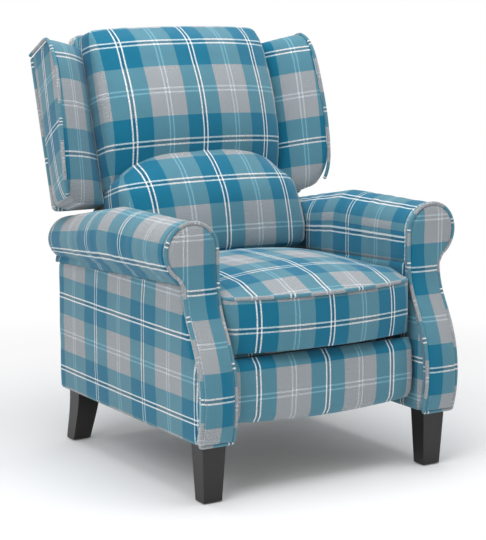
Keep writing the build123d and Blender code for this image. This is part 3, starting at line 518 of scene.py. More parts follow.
def check_group(fabric):
    """The woven check: bands that cross, mixed as square roots of their colours, with flecks in the grey."""
    tree, start, end = new_group(
        "woven check",
        [("Place", "NodeSocketVector", None), ("Flecks", "NodeSocketFloat", 1.0)],
        [("Colour", "NodeSocketColor"), ("Height", "NodeSocketFloat")],
    )
    roots = [tuple(value ** 0.5 for value in colour) for colour in (fabric.teal, fabric.grey, fabric.stripe)]
    teal, grey, stripe = roots
    deep = (0.0, teal[1] * 0.72, teal[2] * 0.76)
    faint = tuple(value * 1.42 for value in grey)
    yarns = (teal, grey, deep, stripe, faint)
    place = node_of(tree, "ShaderNodeSeparateXYZ", Vector=start.outputs["Place"])
    weft = band_yarn(tree, place.outputs[0], fabric.across, yarns, 0.60, fabric)
    warp = band_yarn(tree, place.outputs[1], fabric.along, yarns, 0.30, fabric)
    thread = 2 * np.pi / 0.0022
    u = sum_of(tree, "MULTIPLY", place.outputs[0], thread)
    v = sum_of(tree, "MULTIPLY", place.outputs[1], thread)
    twill = sum_of(tree, "SINE", sum_of(tree, "ADD", u, v))
    share = sum_of(tree, "MULTIPLY_ADD", twill, 0.12, 0.5)
    root = mix_of(tree, share, weft[0], warp[0])
    base = node_of(tree, "ShaderNodeVectorMath", operation="MULTIPLY", _0=root, _1=root).outputs[0]
    covered = sum_of(tree, "MAXIMUM", weft[1], warp[1])
    colour = mix_of(tree, covered, base, (*fabric.stripe, 1.0))
    wool = node_of(tree, "ShaderNodeTexNoise", Vector=start.outputs["Place"], Scale=460.0, Detail=1.0)
    cloud = node_of(tree, "ShaderNodeTexNoise", Vector=start.outputs["Place"], Scale=14.0, Detail=3.0)
    red = node_of(tree, "ShaderNodeSeparateColor", Color=colour).outputs[0]
    grey_share = sum_of(tree, "MULTIPLY_ADD", sum_of(tree, "MINIMUM", red, 0.36), 7.0, 0.4)
    strength = sum_of(tree, "MULTIPLY", grey_share, start.outputs["Flecks"])
    fleck = sum_of(tree, "MULTIPLY", sum_of(tree, "SUBTRACT", wool.outputs[0], 0.5), strength)
    light = sum_of(tree, "ADD", fleck, sum_of(tree, "MULTIPLY_ADD", cloud.outputs[0], 0.10, 0.95))
    shaded = node_of(tree, "ShaderNodeVectorMath", operation="SCALE", Vector=colour, Scale=light)
    ribs = sum_of(tree, "MULTIPLY", sum_of(tree, "SINE", u), sum_of(tree, "SINE", v))
    ribbed = sum_of(tree, "MULTIPLY_ADD", ribs, 0.25, 0.5)
    height = sum_of(tree, "ADD", ribbed, sum_of(tree, "MULTIPLY", twill, 0.2))
    tree.links.new(shaded.outputs[0], end.inputs["Colour"])
    tree.links.new(height, end.inputs["Height"])
    return tree


GRAIN_INPUTS = (("Place", "NodeSocketVector"), ("Dark", "NodeSocketColor"), ("Light", "NodeSocketColor"))


def grain_group():
    """Timber grain: rings stretched along Z and broken by noise."""
    tree, start, end = new_group(
        "timber grain",
        [(label, kind, None) for label, kind in GRAIN_INPUTS],
        [("Colour", "NodeSocketColor"), ("Height", "NodeSocketFloat")],
    )
    stretched = node_of(tree, "ShaderNodeMapping", Vector=start.outputs["Place"], Scale=(60.0, 60.0, 6.0))
    place = stretched.outputs[0]
    noise = node_of(tree, "ShaderNodeTexNoise", Vector=place, Scale=2.0, Detail=6.0, Roughness=0.6)
    rings = node_of(tree, "ShaderNodeTexWave", Vector=place, Scale=0.6, Distortion=6.0, Detail=3.0)
    ringed = sum_of(tree, "MULTIPLY_ADD", rings.outputs[1], 0.5, 0.5)
    share = sum_of(tree, "MULTIPLY", noise.outputs[0], ringed)
    colour = mix_of(tree, share, start.outputs["Dark"], start.outputs["Light"])
    tree.links.new(colour, end.inputs["Colour"])
    tree.links.new(share, end.inputs["Height"])
    return tree


def wear_group():
    """Fine wear: scratches and dust that change colour and roughness a little."""
    tree, start, end = new_group(
        "light wear",
        [
            ("Place", "NodeSocketVector", None),
            ("Base", "NodeSocketColor", None),
            ("Rough", "NodeSocketFloat", 0.4),
        ],
        [("Colour", "NodeSocketColor"), ("Roughness", "NodeSocketFloat"), ("Height", "NodeSocketFloat")],
    )
    dust = node_of(tree, "ShaderNodeTexNoise", Vector=start.outputs["Place"], Scale=35.0, Detail=5.0)
    grit = node_of(tree, "ShaderNodeTexNoise", Vector=start.outputs["Place"], Scale=900.0, Detail=2.0)
    veil = sum_of(tree, "MULTIPLY", dust.outputs[0], 0.12)
    lighter = mix_of(tree, veil, start.outputs["Base"], (0.5, 0.5, 0.5, 1))
    uneven = sum_of(tree, "SUBTRACT", dust.outputs[0], 0.5)
    rough = sum_of(tree, "MULTIPLY_ADD", uneven, 0.35, start.outputs["Rough"])
    tree.links.new(lighter, end.inputs["Colour"])
    tree.links.new(rough, end.inputs["Roughness"])
    tree.links.new(grit.outputs[0], end.inputs["Height"])
    return tree


def place_group(tree, group, surface, bump, depth, place, **values):
    """Puts a group into a material and leads its outputs to the surface and a bump."""
    node = tree.nodes.new("ShaderNodeGroup")
    node.node_tree = group
    tree.links.new(place, node.inputs["Place"])
    for label, value in values.items():
        node.inputs[label].default_value = value
    tree.links.new(node.outputs["Colour"], surface.inputs["Base Color"])
    if "Roughness" in node.outputs:
        tree.links.new(node.outputs["Roughness"], surface.inputs["Roughness"])
    raised = node_of(tree, "ShaderNodeBump", Height=node.outputs["Height"], Strength=bump, Distance=depth)
    tree.links.new(raised.outputs[0], surface.inputs["Normal"])
    return node


def fabric_material(name, group, shift=0.0, flecks=1.0):
    sheen = {"Sheen_Weight": 0.25, "Sheen_Roughness": 0.5, "Specular_IOR_Level": 0.25}
    material, tree, surface = new_material(name, 0.88, **sheen)
    uv = node_of(tree, "ShaderNodeUVMap", uv_map="weave")
    moved = node_of(tree, "ShaderNodeMapping", Vector=uv.outputs[0], Location=(0.0, shift, 0.0))
    place_group(tree, group, surface, 0.5, 0.0006, moved.outputs[0], Flecks=flecks)
    return material


def object_place(tree):
    return node_of(tree, "ShaderNodeTexCoord").outputs["Object"]


def make_materials():
    """Every finish of the chair by the name of its slot."""
    fabric, _ = settings()
    check = check_group(fabric)
    grain = grain_group()
    wear = wear_group()
    finishes = {
        "check_fabric": fabric_material("woven check fabric", check),
        "piping_fabric": fabric_material("covered cord", check, fabric.along * 0.33),
    }
    for slot, dark, light, roughness in (
        ("dark_wood", (0.004, 0.003, 0.003, 1), (0.018, 0.014, 0.013, 1), 0.32),
        ("frame_wood", (0.30, 0.19, 0.10, 1), (0.62, 0.46, 0.30, 1), 0.7),
    ):
        material, tree, surface = new_material(slot.replace("_", " "), roughness)
        place_group(tree, grain, surface, 0.15, 0.0008, object_place(tree), Dark=dark, Light=light)
        finishes[slot] = material
    for slot, colour, roughness, metal in (
        ("steel", (0.028, 0.028, 0.030, 1), 0.45, 0.0),
        ("fastener_steel", (0.55, 0.55, 0.56, 1), 0.35, 1.0),
        ("glide_plastic", (0.03, 0.03, 0.03, 1), 0.6, 0.0),
    ):
        material, tree, surface = new_material(slot.replace("_", " "), roughness, Metallic=metal)
        place_group(tree, wear, surface, 0.1, 0.0003, object_place(tree), Base=colour, Rough=roughness)
        finishes[slot] = material
    return finishes


def finish_of(slot):
    """The material of a slot, made on first use."""
    if not hasattr(finish_of, "made"):
        finish_of.made = make_materials()
    return finish_of.made[slot]


# ---------------------------------------------------------------- operators
class WINGCHAIR_OT_hard_parts(bpy.types.Operator):
    """Gives the legs, timbers, springs and steel parts their finishes"""

    bl_idname = "wingchair.hard_parts"
    bl_label = "Finish the frame"

    def execute(self, context):
        slots = {part["node"]: part["material_slot"] for part in frame["record"]["subparts"]}
        for name, node in frame["nodes"].items():
            material = finish_of(slots[name])
            for index in range(len(node.material_slots)):
                node.material_slots[index].material = material
            if not node.material_slots:
                raise RuntimeError(f"{name} has no material slot")
        return {"FINISHED"}


class WINGCHAIR_OT_arm_covers(bpy.types.Operator):
    """Makes the covers of the arm bodies, which swell a little between their edges"""

    bl_idname = "wingchair.arm_covers"
    bl_label = "Arm covers"

    def execute(self, context):
        padding = settings()[1]
        block, quads, axes = lattice((14, 84, 44))
        half = np.array(((ARM_OUTER - ARM_INNER) / 2, 0.5, 0.5))
        local = rounded(block, half, 0.010)
        across, along, rise = local[:, 0], local[:, 1] + 0.5, local[:, 2] + 0.5
        low = ARM_FOOT + 0.0 * along
        y_rough = FACE_UPPER + along * (ARM_REAR - FACE_UPPER)
        z = low + rise * (seam(y_rough) - low)
        front = face_depth(z) + FACING - 0.001
        y = front + along * (ARM_REAR - front)
        corner = 0.003 * (1 - np.sqrt(1 - np.clip(1 - (z - ARM_FOOT) / 0.045, 0, 1) ** 2))
        y -= corner * ease(0.93, 1.0, along)
        bulge = 4 * rise * (1 - rise) * np.clip(4 * along * (1 - along), 0, 1) ** 0.5
        puff = np.where(across > 0, padding.panel, 0.0) * bulge * (np.abs(across) / half[0])
        crease = folds(y, z, 5, 0.09) * 0.0012 * ease(0.0, 0.25, rise) * (across > 0)
        x = (ARM_INNER + ARM_OUTER) / 2 + across + puff + crease
        x = np.minimum(x, ARM_OUTER + 0.012)
        points = np.stack([x, at(y), z], axis=-1)
        corners = np.stack([x, y, z], axis=-1)[quads]
        v = np.where(axes[:, None] == 1, corners[..., 0], corners[..., 1])
        for (side, sign), start_u, start_v in zip(SIDES, (0.457, 0.385), (0.310, 0.241)):
            uv = np.stack([corners[..., 2] - start_u, (v - start_v) * 1.03], axis=-1).reshape(-1, 2)
            nodes = (f"arm_outer_panel_{side}", f"arm_inner_panel_{side}")
            put_cover(f"arm_cover_{side}", mirrored(points, quads, uv, sign), "base", nodes)
        return {"FINISHED"}


class WINGCHAIR_OT_arm_rolls(bpy.types.Operator):
    """Makes the padded arm rolls: a scroll carried backwards, closed at both ends"""

    bl_idname = "wingchair.arm_rolls"
    bl_label = "Arm rolls"

    def execute(self, context):
        rows, columns = 96, 64
        front, rear = FACE_UPPER + FACING - 0.001, ROLL_REAR - 0.004
        y = np.linspace(front, rear, rows)
        y[np.argmin(np.abs(y - ROLL_BEND))] = ROLL_BEND
        top, low = roll_top(y)[:, None], seam(y)[:, None] - 0.001
        x, z = roll_ring(top, low, roll_radius(y)[:, None], columns)
        ring_y = np.repeat(y[:, None], columns, axis=1)
        middle_x, middle_z = x.mean(axis=1, keepdims=True), (top + low) / 2
        angle = np.linspace(0, 2 * np.pi, columns)[None, :]
        pleat = folds(angle * 0.02, ring_y, 8, 0.05) * 0.0015 * (z > low + 0.01)
        swell = 1 + pleat / ROLL_RADIUS
        x, z = middle_x + (x - middle_x) * swell, middle_z + (z - middle_z) * swell
        caps = []
        for size, push in ((0.97, 0.006), (0.86, 0.011), (0.6, 0.016), (0.3, 0.018), (0.04, 0.018)):
            cap_x = middle_x[-1] + (x[-1] - middle_x[-1]) * size
            cap_z = middle_z[-1] + (z[-1] - middle_z[-1]) * size
            caps.append(np.stack([cap_x, np.full(columns, rear + push - 0.012), cap_z], axis=-1))
        body = np.stack([x, ring_y, z], axis=-1)
        body[-1, :, 1] -= 0.012
        body[-2, :, 1] = body[-1, :, 1] - 0.004
        start_x = middle_x[0] + (x[0] - middle_x[0]) * 0.04
        start_z = middle_z[0] + (z[0] - middle_z[0]) * 0.04
        start = np.stack([start_x, np.full(columns, front), start_z], axis=-1)
        grid = np.concatenate([start[None], body, np.array(caps)])
        i, j, quads = ring_quads(len(grid), columns, turned=True)
        around = np.concatenate([[0], np.cumsum(np.hypot(np.diff(x[0]), np.diff(z[0])))])
        around = np.append(around, around[-1] + 0.004)
        over_end = np.concatenate([[0] * (rows + 1), 0.02 * np.arange(1, 6)])
        travel = np.clip(grid[:, 0, 1], front, None) + over_end
        u = np.stack([around[j], around[j], around[j + 1], around[j + 1]], axis=-1)
        v = np.stack([travel[i], travel[i + 1], travel[i + 1], travel[i]], axis=-1)
        v = v + ROLL_MITRE * (travel[i] > ROLL_BEND - 0.001)[:, None]
        points = grid.reshape(-1, 3) + np.array((0.0, ORIGIN_Y, 0.0))
        for (side, sign), start_u, start_v, stretch in zip(SIDES, *ROLL_WEAVE):
            uv = np.stack([(u - start_u) * stretch, v - start_v], axis=-1).reshape(-1, 2)
            made = mirrored(points, quads, uv, sign)
            put_cover(f"arm_roll_cover_{side}", made, "base", (f"arm_roll_{side}",))
        return {"FINISHED"}


def facing_outline(grow, count=40):
    """Front view of the arm front in X and Z: the scroll, then the straight stem, as evenly run points."""
    sweep = np.radians(np.linspace(180, -NECK_ANGLE, count))
    x, z = scroll(sweep, ROLL_TOP, SEAM_FRONT, ROLL_RADIUS, grow)
    corners = [(x[-1], z[-1]), (ARM_OUTER + grow, SEAM_FRONT - 0.006), (ARM_OUTER + grow, ARM_FOOT - grow)]
    corners += [(ARM_INNER - grow, ARM_FOOT - grow), (x[0], z[0])]
    parts = [np.stack([x, z], axis=-1)]
    for (x0, z0), (x1, z1) in zip(corners[:-1], corners[1:]):
        steps = max(int(np.hypot(x1 - x0, z1 - z0) / 0.008), 1)
        share = np.linspace(0, 1, steps, endpoint=False)[:, None]
        parts.append(np.array((x0, z0)) + share * np.array((x1 - x0, z1 - z0)))
    outline = np.concatenate(parts)
    keep = np.append(np.linalg.norm(np.diff(outline, axis=0), axis=1) > 1e-5, True)
    return outline[keep]


class WINGCHAIR_OT_arm_fronts(bpy.types.Operator):
    """Makes the padded arm fronts, S-curved in side view, and the piping all round them"""

    bl_idname = "wingchair.arm_fronts"
    bl_label = "Arm fronts and piping"

    def execute(self, context):
        fabric = settings()[0]
        outline = facing_outline(-fabric.piping * 0.6)
        spine_z = np.clip(outline[:, 1], ARM_FOOT + 0.03, ROLL_TOP - ROLL_RADIUS)
        blend = ease(SEAM_FRONT - 0.06, SEAM_FRONT + 0.05, outline[:, 1])
        centre = (ARM_INNER + ARM_OUTER) / 2
        spine_x = centre + blend * (ARM_INNER + ROLL_RADIUS - centre)
        spine = np.stack([spine_x, spine_z], axis=-1)
        rings = []
        rings += [(0.0, FACING), (1.0, FACING), (1.0, 0.006), (0.985, 0.001), (0.94, -0.003), (0.82, -0.0055)]
        rings += [(share, -0.0065 - 0.0015 * (1 - share)) for share in (0.6, 0.35, 0.12, 0.0)]
        layers = []
        for share, depth in rings:
            flat = spine + share * (outline - spine)
            y = face_depth(flat[:, 1]) + depth
            layers.append(np.stack([flat[:, 0], at(y), flat[:, 1]], axis=-1))
        quads = ring_quads(len(rings), len(outline))[2]
        points = np.concatenate(layers)
        corners = points[quads]
        heights = np.linspace(ARM_FOOT - 0.02, ROLL_TOP + 0.02, 400)
        run = np.hypot(np.gradient(heights), np.gradient(face_depth(heights)))
        length = np.cumsum(run)
        v = np.interp(corners[..., 2], heights, length) - np.interp(0.483, heights, length)
        uv = np.stack([corners[..., 0] - 0.358 + fabric.across / 2, v], axis=-1).reshape(-1, 2)
        edge = facing_outline(0.0)
        path = np.stack([edge[:, 0], at(face_depth(edge[:, 1]) + 0.001), edge[:, 1]], axis=-1)
        cord = tube(path, fabric.piping, closed=True)
        for side, sign in SIDES:
            made = mirrored(points, quads, uv, sign)
            put_cover(f"arm_front_{side}", made, "base", (f"arm_facing_{side}",))
            put_cord(f"arm_piping_{side}", mirrored(*cord, sign), "base", f"facing_piping_{side}")
        return {"FINISHED"}


class WINGCHAIR_OT_seat(bpy.types.Operator):
    """Makes the crowned seat cushion, its front border and the piping between them"""

    bl_idname = "wingchair.seat"
    bl_label = "Seat"

    def execute(self, context):
        fabric, padding = settings()
        self.cushion(padding)
        self.border(padding)
        x = np.linspace(-1, 1, 120)
        x = np.sign(x) * (1 - (1 - np.abs(x)) ** 1.35) * (SEAT_HALF - fabric.piping)
        y = bow(x, SEAT_HALF - fabric.piping, SEAT_CORNER, SEAT_FRONT - 0.003, 0.03)
        path = np.stack([x, at(y), np.full_like(x, SEAT_EDGE)], axis=-1)
        back = np.array((0.0, 0.012, 0.0))
        path = np.concatenate([path[:1] + back, path, path[-1:] + back])
        put_cord("seat_edge_piping", tube(path, fabric.piping), "seat", "seat_piping")
        return {"FINISHED"}

    @staticmethod
    def cushion(padding):
        block, quads, axes = lattice((72, 68, 12))
        local = rounded(block, (SEAT_HALF, 0.5, 0.5), 0.012)
        x = local[:, 0]
        along, rise = local[:, 1] + 0.5, local[:, 2] + 0.5
        front = bow(x, SEAT_HALF, SEAT_CORNER, SEAT_FRONT, 0.03)
        y = front + along * (SEAT_REAR - front)
        crown = (1 - np.abs(x / SEAT_HALF) ** 2.4) * (1 - 0.25 * np.abs(2 * along - 1.1) ** 3)
        edge = SEAT_EDGE + (SEAT_SIDE - SEAT_EDGE) * ease(0.0, 0.2, along)
        lift = ease(0, 0.45, along) ** 0.8 * (1 - 0.35 * ease(0.9, 1.0, along))
        roll = 0.012 * ease(0, 0.06, along) * (1 - ease(0.06, 0.3, along)) * 0.3
        top = edge + (SEAT_CROWN - 0.003 - SEAT_SIDE) * crown * lift + roll
        pucker = folds(x, y, 3, 0.035) * padding.pucker * (1 - ease(0.0, 0.16, along))
        wave = folds(x, y, 4, 0.17) * 0.0022 * ease(0.05, 0.3, along)
        top = np.minimum(top + pucker + wave, SEAT_CROWN + 0.004)
        low = np.where(y > BORDER_BACK + 0.004, 0.41, SEAT_EDGE + 0.0005)
        z = low + rise * (top - low)
        points = np.stack([x, at(y), z], axis=-1)
        corners = np.stack([x, y, z], axis=-1)[quads]
        u = np.where(axes[:, None] == 0, corners[..., 2], corners[..., 0]) - 0.002
        v = np.where(axes[:, None] == 1, corners[..., 2] - SEAT_EDGE + SEAT_FRONT, corners[..., 1]) - 0.133
        uv = np.stack([u, v], axis=-1).reshape(-1, 2)
        put_cover("seat_cushion_cover", (points, quads, uv), "seat", ("seat_cushion",))

    @staticmethod
    def border(padding):
        block, quads, axes = lattice((72, 8, 18))
        local = rounded(block, (SEAT_HALF - 0.001, 0.5, 0.5), 0.008)
        x, along, rise = local[:, 0], local[:, 1] + 0.5, local[:, 2] + 0.5
        z = BORDER_LOW + rise * (SEAT_EDGE - 0.001 - BORDER_LOW)
        pucker = folds(x, z, 6, 0.05) * padding.pucker * ease(0.7, 1, np.abs(2 * rise - 1))
        bulge = 0.010 * (4 * rise * (1 - rise)) ** 0.8 + pucker
        inside = 1 - ease(0.9, 1.0, np.abs(x / SEAT_HALF))
        front = bow(x, SEAT_HALF, SEAT_CORNER, SEAT_FRONT, 0.03) - bulge * inside
        y = front + along * (BORDER_BACK - front)
        points = np.stack([x, at(y), z], axis=-1)
        uv = box_weave(np.stack([x, y, z], axis=-1), quads, axes, (0.002, 0.388))
        put_cover("seat_border_cover", (points, quads, uv), "seat", ("seat_border",))


class WINGCHAIR_OT_footrest(bpy.types.Operator):
    """Makes the padded footrest panel under the seat"""

    bl_idname = "wingchair.footrest"
    bl_label = "Footrest"

    def execute(self, context):
        block, quads, axes = lattice((72, 6, 24))
        local = rounded(block, (FOOTREST_HALF, 0.5, 0.5), 0.008)
        x, along, rise = local[:, 0], local[:, 1] + 0.5, local[:, 2] + 0.5
        z = FOOTREST_LOW + rise * (FOOTREST_TOP - FOOTREST_LOW)
        z += 0.010 * (x / FOOTREST_HALF) ** 2 * (1 - ease(0, 0.5, rise))
        round_top = 0.013 * ease(0.84, 1.0, rise) ** 1.5 + 0.007 * ease(0.0, 0.12, -rise + 0.12)
        bulge = 0.009 * (4 * rise * (1 - rise)) ** 0.7 - round_top + folds(x, z, 7, 0.06) * 0.0008
        front = bow(x, FOOTREST_HALF, 0.016, 0.006, 0.012) - bulge
        front = np.minimum(front, FOOTREST_BACK - 0.002)
        y = front + along * (FOOTREST_BACK - front)
        points = np.stack([x, at(y), z], axis=-1)
        uv = box_weave(np.stack([x, y, z], axis=-1), quads, axes, (0.002, 0.3605), (1.0, 0.97))
        put_cover("footrest_cover", (points, quads, uv), "footrest", ("footrest_pad",))
        return {"FINISHED"}


def cushion_shape(stations, cells, radius, seed, padding, arch=0.0):
    """A back cushion: drawn-in sides, a crowned front and small folds that run in from its edges."""
    block, quads, axes = lattice(cells)
    local = rounded(block, (1.0, 1.0, 1.0), radius)
    a, b, c = local.T
    low, high = stations[0][0], stations[-1][0]
    share = (c + 1) / 2
    height = low + share * (high - low)
    up = height - arch * np.abs(a) ** 3 * ease(0.55, 1.0, share)
    x = a * through(stations, 1, height)
    side = through(stations, 2, height)
    middle = through(stations, 3, height)
    depth = (1 - b) / 2
    crown = (1 - np.abs(a) ** 2.6) ** 0.9 * ease(0.25, 1.0, depth)
    forward = CUSHION_BACK + depth * (side - CUSHION_BACK) + (middle - side) * crown
    rim = ease(0.70, 1.0, np.maximum(np.abs(a), np.abs(c)))
    pucker = folds(x, up, seed, 0.035) * padding.pucker * 1.5
    forward = forward + pucker * rim * ease(0.5, 1, depth)
    forward = forward + folds(x, up, seed + 1, 0.16) * 0.0025 * ease(0.5, 1, depth) * (1 - rim)
    gusset = folds(forward * 0.3, up, seed + 2, 0.045) * 0.0030
    gusset = gusset * ease(0.9, 1.0, np.abs(a)) * np.sin(np.pi * depth)
    x = x * (1 + 0.012 * np.sin(np.pi * depth)) + np.sign(a) * gusset
    return x, forward, up, quads, axes


class WINGCHAIR_OT_back_cushions(bpy.types.Operator):
    """Makes the head cushion and the lumbar cushion"""

    bl_idname = "wingchair.back_cushions"
    bl_label = "Back cushions"

    def execute(self, context):
        padding = settings()[1]
        head = (UPPER_STATIONS, (64, 18, 50), 0.075, 11, 0.004, 0.128)
        lumbar = (LUMBAR_STATIONS, (64, 22, 36), 0.17, 21, 0.055, 0.020)
        for name, node, (stations, cells, radius, seed, arch, centre) in (
            ("head_cushion", "upper_cushion", head),
            ("lumbar_cushion_cover", "lumbar_cushion", lumbar),
        ):
            x, forward, up, quads, axes = cushion_shape(stations, cells, radius, seed, padding, arch)
            local = np.stack([x, -forward, up], axis=-1)
            uv = box_weave(local, quads, axes, (0.003, centre), (0.97, 0.95))
            put_cover(name, (tilted(x, forward, up), quads, uv), "backrest", (node,))
        return {"FINISHED"}


class WINGCHAIR_OT_wings(bpy.types.Operator):
    """Makes the padded wings and the piping on their front edges"""

    bl_idname = "wingchair.wings"
    bl_label = "Wings"

    def execute(self, context):
        fabric, padding = settings()
        block, quads, axes = lattice((26, 24, 56))
        local = rounded(block, (1.0, 1.0, 1.0), 0.09)
        a, b, c = local.T
        low, high = WING_EDGE[0][0], WING_EDGE[-1][0]
        share = (c + 1) / 2
        height = low + share * (high - low)
        edge, out = through(WING_EDGE, 1, height), through(WING_EDGE, 2, height)
        across = (a + 1) / 2
        swell = across + 0.7 * across * (1 - across)
        front = WING_ROOT + (edge - WING_ROOT) * swell
        depth = (1 - b) / 2
        forward = BACK_PANEL + depth * (front - BACK_PANEL)
        up = height - (high - WING_REAR_TOP) * (1 - depth) * ease(0.7, 1.0, share)
        up = up - 0.016 * (1 - across) * ease(0.8, 1.0, share)
        foot = 1 - np.sqrt(1 - ease(0.45, 1.0, across) ** 2 * 0.999)
        up = up + WING_FOOT_ROUND * foot * (1 - ease(0.0, 0.22, share))
        rear_out = WING_OUTER + (out - WING_OUTER) * depth
        x = WING_INNER + across * (rear_out - WING_INNER)
        bulge = np.sin(np.pi * share) * np.sin(np.pi * np.clip(depth, 0, 1))
        x = x + ease(0.5, 1, a) * 0.005 * bulge
        pucker = folds(x, up, 31, 0.05) * padding.pucker
        forward = forward + pucker * ease(0.6, 1, depth) * ease(0.55, 1, np.abs(a))
        corners = np.stack([x, forward, up], axis=-1)[quads]
        outer = (axes[:, None] == 0) & (corners[..., 0].mean(axis=1, keepdims=True) > 0.31)
        run = (WING_OUTER - corners[..., 0]) * 1.2
        u = np.where(outer, corners[..., 1] - 0.083, run - 0.045 + fabric.across / 2)
        v = np.where(outer, corners[..., 2] - 0.21 * corners[..., 1] - 0.1665, corners[..., 2] - 0.1175)
        uv = np.stack([u, v], axis=-1).reshape(-1, 2)
        points = tilted(x, forward, up)
        cord = tube(self.edge_path(low, high), fabric.piping)
        for side, sign in SIDES:
            made = mirrored(points, quads, uv, sign)
            put_cover(f"wing_cover_{side}", made, "backrest", (f"wing_{side}",))
            self.edge(side, sign, cord)
        return {"FINISHED"}

    @staticmethod
    def edge_path(low, high):
        """Up the front edge and back along the top, with the corner rounded by averaging."""
        rise = np.linspace(low + WING_FOOT_ROUND + 0.002, high, 90)
        front = [through(WING_EDGE, 2, rise) + 0.002, through(WING_EDGE, 1, rise) + 0.001, rise]
        back = np.linspace(0, 1, 24)[1:]
        last = [values[-1] for values in front]
        top_z = high + back * (WING_REAR_TOP - high) + 0.002
        top = [last[0] + back * (WING_OUTER - last[0]), last[1] * (1 - back), top_z]
        path = np.stack([np.concatenate(pair) for pair in zip(front, top)], axis=-1)
        for _ in range(6):
            path[1:-1] = (path[:-2] + 2 * path[1:-1] + path[2:]) / 4
        return tilted(*path.T)

    @staticmethod
    def edge(side, sign, cord):
        points = cord[0] * np.array((sign, 1.0, 1.0))
        faces = [face[::-1] for face in cord[1]] if sign < 0 else cord[1]
        put_cord(f"wing_edge_{side}", (points, faces, cord[2]), "backrest", f"wing_piping_{side}")


class WINGCHAIR_OT_rear_panels(bpy.types.Operator):
    """Makes the padded rear panel of the back and the apron that closes the base"""

    bl_idname = "wingchair.rear_panels"
    bl_label = "Rear panels"

    def execute(self, context):
        points, quads, uv = self.panel(WING_OUTER + 0.002, -0.003, 0.446, 0.395)
        more_points, more_quads, more_uv = self.panel(SEAT_HALF - 0.002, -0.262, -0.002, 1.0)
        points = np.concatenate([points, more_points])
        quads = np.concatenate([quads, more_quads + len(points) - len(more_points)])
        uv = np.concatenate([uv, more_uv])
        put_cover("rear_panel", (points, quads, uv), "backrest", ("outside_back",))
        low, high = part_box("rear_apron")
        block, quads, axes = lattice((60, 4, 24))
        half = (high - low) / 2
        local = rounded(block, tuple(half), 0.004)
        swell = 0.004 * (1 - (local[:, 0] / half[0]) ** 2) * (1 - (local[:, 2] / half[2]) ** 2)
        local[:, 1] += swell * (block[:, 1] > 0)
        points = local + np.array((low + high) / 2)
        uv = box_weave(local, quads, axes, (0.02, 0.0))
        put_cover("rear_apron_cover", (points, quads, uv), "base", ("rear_apron",))
        return {"FINISHED"}

    @staticmethod
    def panel(half, low, high, hem):
        """A flat pad across the back, that wraps over the top rail above the hem's height."""
        block, quads, axes = lattice((70, 6, 50))
        local = rounded(block, (1.0, 1.0, 1.0), 0.05)
        a, b, c = local.T
        up = low + (c + 1) / 2 * (high - low)
        x = a * half
        middle = 1 - ease(0.255, 0.272, np.abs(x))
        front = BACK_PANEL - 0.0005 + (CUSHION_BACK - BACK_PANEL + 0.004) * ease(hem, hem + 0.01, up) * middle
        swell = 0.004 * (1 - a ** 2) * (1 - c ** 2) * (b > 0)
        forward = front * (1 - b) / 2 - swell
        up = up - max(high - WING_REAR_TOP, 0) * (1 - middle) * ease(0.6, 1.0, (c + 1) / 2)
        uv = box_weave(np.stack([x, -forward, up], axis=-1), quads, axes, (0.02, 0.128))
        return tilted(x, forward, up), quads, uv


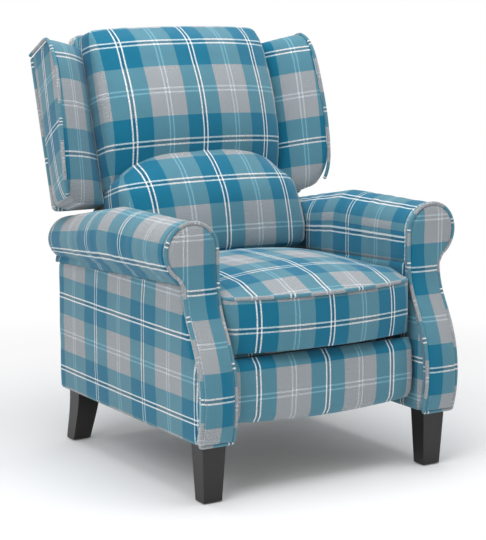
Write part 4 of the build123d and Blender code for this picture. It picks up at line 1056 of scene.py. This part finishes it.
class WINGCHAIR_OT_stage(bpy.types.Operator):
    """Makes the floor, the lamps, the plain world and the camera"""

    bl_idname = "wingchair.stage"
    bl_label = "Stage"

    def execute(self, context):
        stage = context.scene.wing_chair_stage
        self.floor(stage)
        self.world(context.scene)
        for name, place, size, power in (
            ("key", (-2.9, -1.6, 3.2), 2.4, stage.key),
            ("top", (0.0, -0.3, 3.6), 3.0, stage.key * 1.45),
            ("fill", (3.2, -2.6, 2.4), 3.0, stage.key * 0.18),
        ):
            lamp = bpy.data.lights.new(name, "AREA")
            lamp.energy, lamp.size = power, size
            holder = bpy.data.objects.new(name, lamp)
            holder.location = place
            holder.rotation_euler = (Vector((0, 0, 0.45)) - Vector(place)).to_track_quat("-Z", "Y").to_euler()
            context.scene.collection.objects.link(holder)
        self.camera(context.scene)
        context.scene.view_settings.view_transform = "Standard"
        return {"FINISHED"}

    @staticmethod
    def floor(stage):
        reach = 14.0
        mesh = bpy.data.meshes.new("floor")
        corners = [(-reach, -reach, 0), (reach, -reach, 0), (reach, reach, 0), (-reach, reach, 0)]
        mesh.from_pydata(corners, [], [(0, 1, 2, 3)])
        floor = bpy.data.objects.new("floor", mesh)
        bpy.context.scene.collection.objects.link(floor)
        material, tree, surface = new_material("studio floor", 0.9, Specular_IOR_Level=0.1)
        surface.inputs["Base Color"].default_value = (*stage.floor, 1)
        seen = tree.nodes.new("ShaderNodeLightPath").outputs["Is Camera Ray"]
        place = node_of(tree, "ShaderNodeVectorMath", operation="LENGTH", Vector=object_place(tree))
        far = node_of(tree, "ShaderNodeMapRange", _0=place.outputs["Value"], _1=0.75, _2=1.9, _3=0.05, _4=1.0)
        white = node_of(tree, "ShaderNodeEmission", Color=(1.0, 1.0, 1.0, 1.0), Strength=1.0)
        mixed = tree.nodes.new("ShaderNodeMixShader")
        tree.links.new(sum_of(tree, "MULTIPLY", seen, far.outputs[0]), mixed.inputs[0])
        tree.links.new(surface.outputs[0], mixed.inputs[1])
        tree.links.new(white.outputs[0], mixed.inputs[2])
        tree.links.new(mixed.outputs[0], tree.nodes["Material Output"].inputs["Surface"])
        mesh.materials.append(material)

    @staticmethod
    def world(scene):
        world = bpy.data.worlds.new("studio")
        world.use_nodes = True
        scene.world = world
        tree = world.node_tree
        back = tree.nodes["Background"]
        path = tree.nodes.new("ShaderNodeLightPath")
        seen = sum_of(tree, "MAXIMUM", path.outputs["Is Camera Ray"], path.outputs["Is Glossy Ray"])
        strength = sum_of(tree, "MULTIPLY_ADD", seen, 0.66, 0.34)
        back.inputs["Color"].default_value = (1, 1, 1, 1)
        tree.links.new(strength, back.inputs["Strength"])

    @staticmethod
    def camera(scene):
        camera = bpy.data.cameras.new("camera")
        camera.lens, camera.sensor_width = LENS, 36.0
        holder = bpy.data.objects.new("camera", camera)
        place = (CAMERA_AT[0], at(CAMERA_AT[1]), CAMERA_AT[2])
        yaw = Matrix.Rotation(np.radians(-CAMERA_YAW), 4, "Z")
        pitch = Matrix.Rotation(np.radians(90 - CAMERA_PITCH), 4, "X")
        holder.matrix_world = Matrix.Translation(place) @ (yaw @ pitch)
        scene.collection.objects.link(holder)
        scene.camera = holder


class WINGCHAIR_PT_panel(bpy.types.Panel):
    """Sizes and colours of the chair, and a button for each group of pieces"""

    bl_label = "Wing chair"
    bl_idname = "WINGCHAIR_PT_panel"
    bl_space_type = "VIEW_3D"
    bl_region_type = "UI"
    bl_category = "Wing chair"

    def draw(self, context):
        for group in GROUPS:
            values = getattr(context.scene, group)
            for key in values.__annotations__:
                self.layout.prop(values, key)
        for operator in OPERATORS:
            self.layout.operator(operator.bl_idname)


OPERATORS = (
    WINGCHAIR_OT_hard_parts,
    WINGCHAIR_OT_arm_covers,
    WINGCHAIR_OT_arm_rolls,
    WINGCHAIR_OT_arm_fronts,
    WINGCHAIR_OT_seat,
    WINGCHAIR_OT_footrest,
    WINGCHAIR_OT_back_cushions,
    WINGCHAIR_OT_wings,
    WINGCHAIR_OT_rear_panels,
    WINGCHAIR_OT_stage,
)
GROUPS = {
    "wing_chair_fabric": WingChairFabric,
    "wing_chair_padding": WingChairPadding,
    "wing_chair_stage": WingChairStage,
}
CLASSES = (*GROUPS.values(), *OPERATORS, WINGCHAIR_PT_panel)


def register():
    for item in CLASSES:
        bpy.utils.register_class(item)
    for name, group in GROUPS.items():
        setattr(bpy.types.Scene, name, PointerProperty(type=group))


def unregister():
    for name in GROUPS:
        delattr(bpy.types.Scene, name)
    for item in reversed(CLASSES):
        bpy.utils.unregister_class(item)


def main():
    register()
    for operator in OPERATORS:
        section, name = operator.bl_idname.split(".")
        getattr(getattr(bpy.ops, section), name)()


if __name__ == "__main__":
    main()
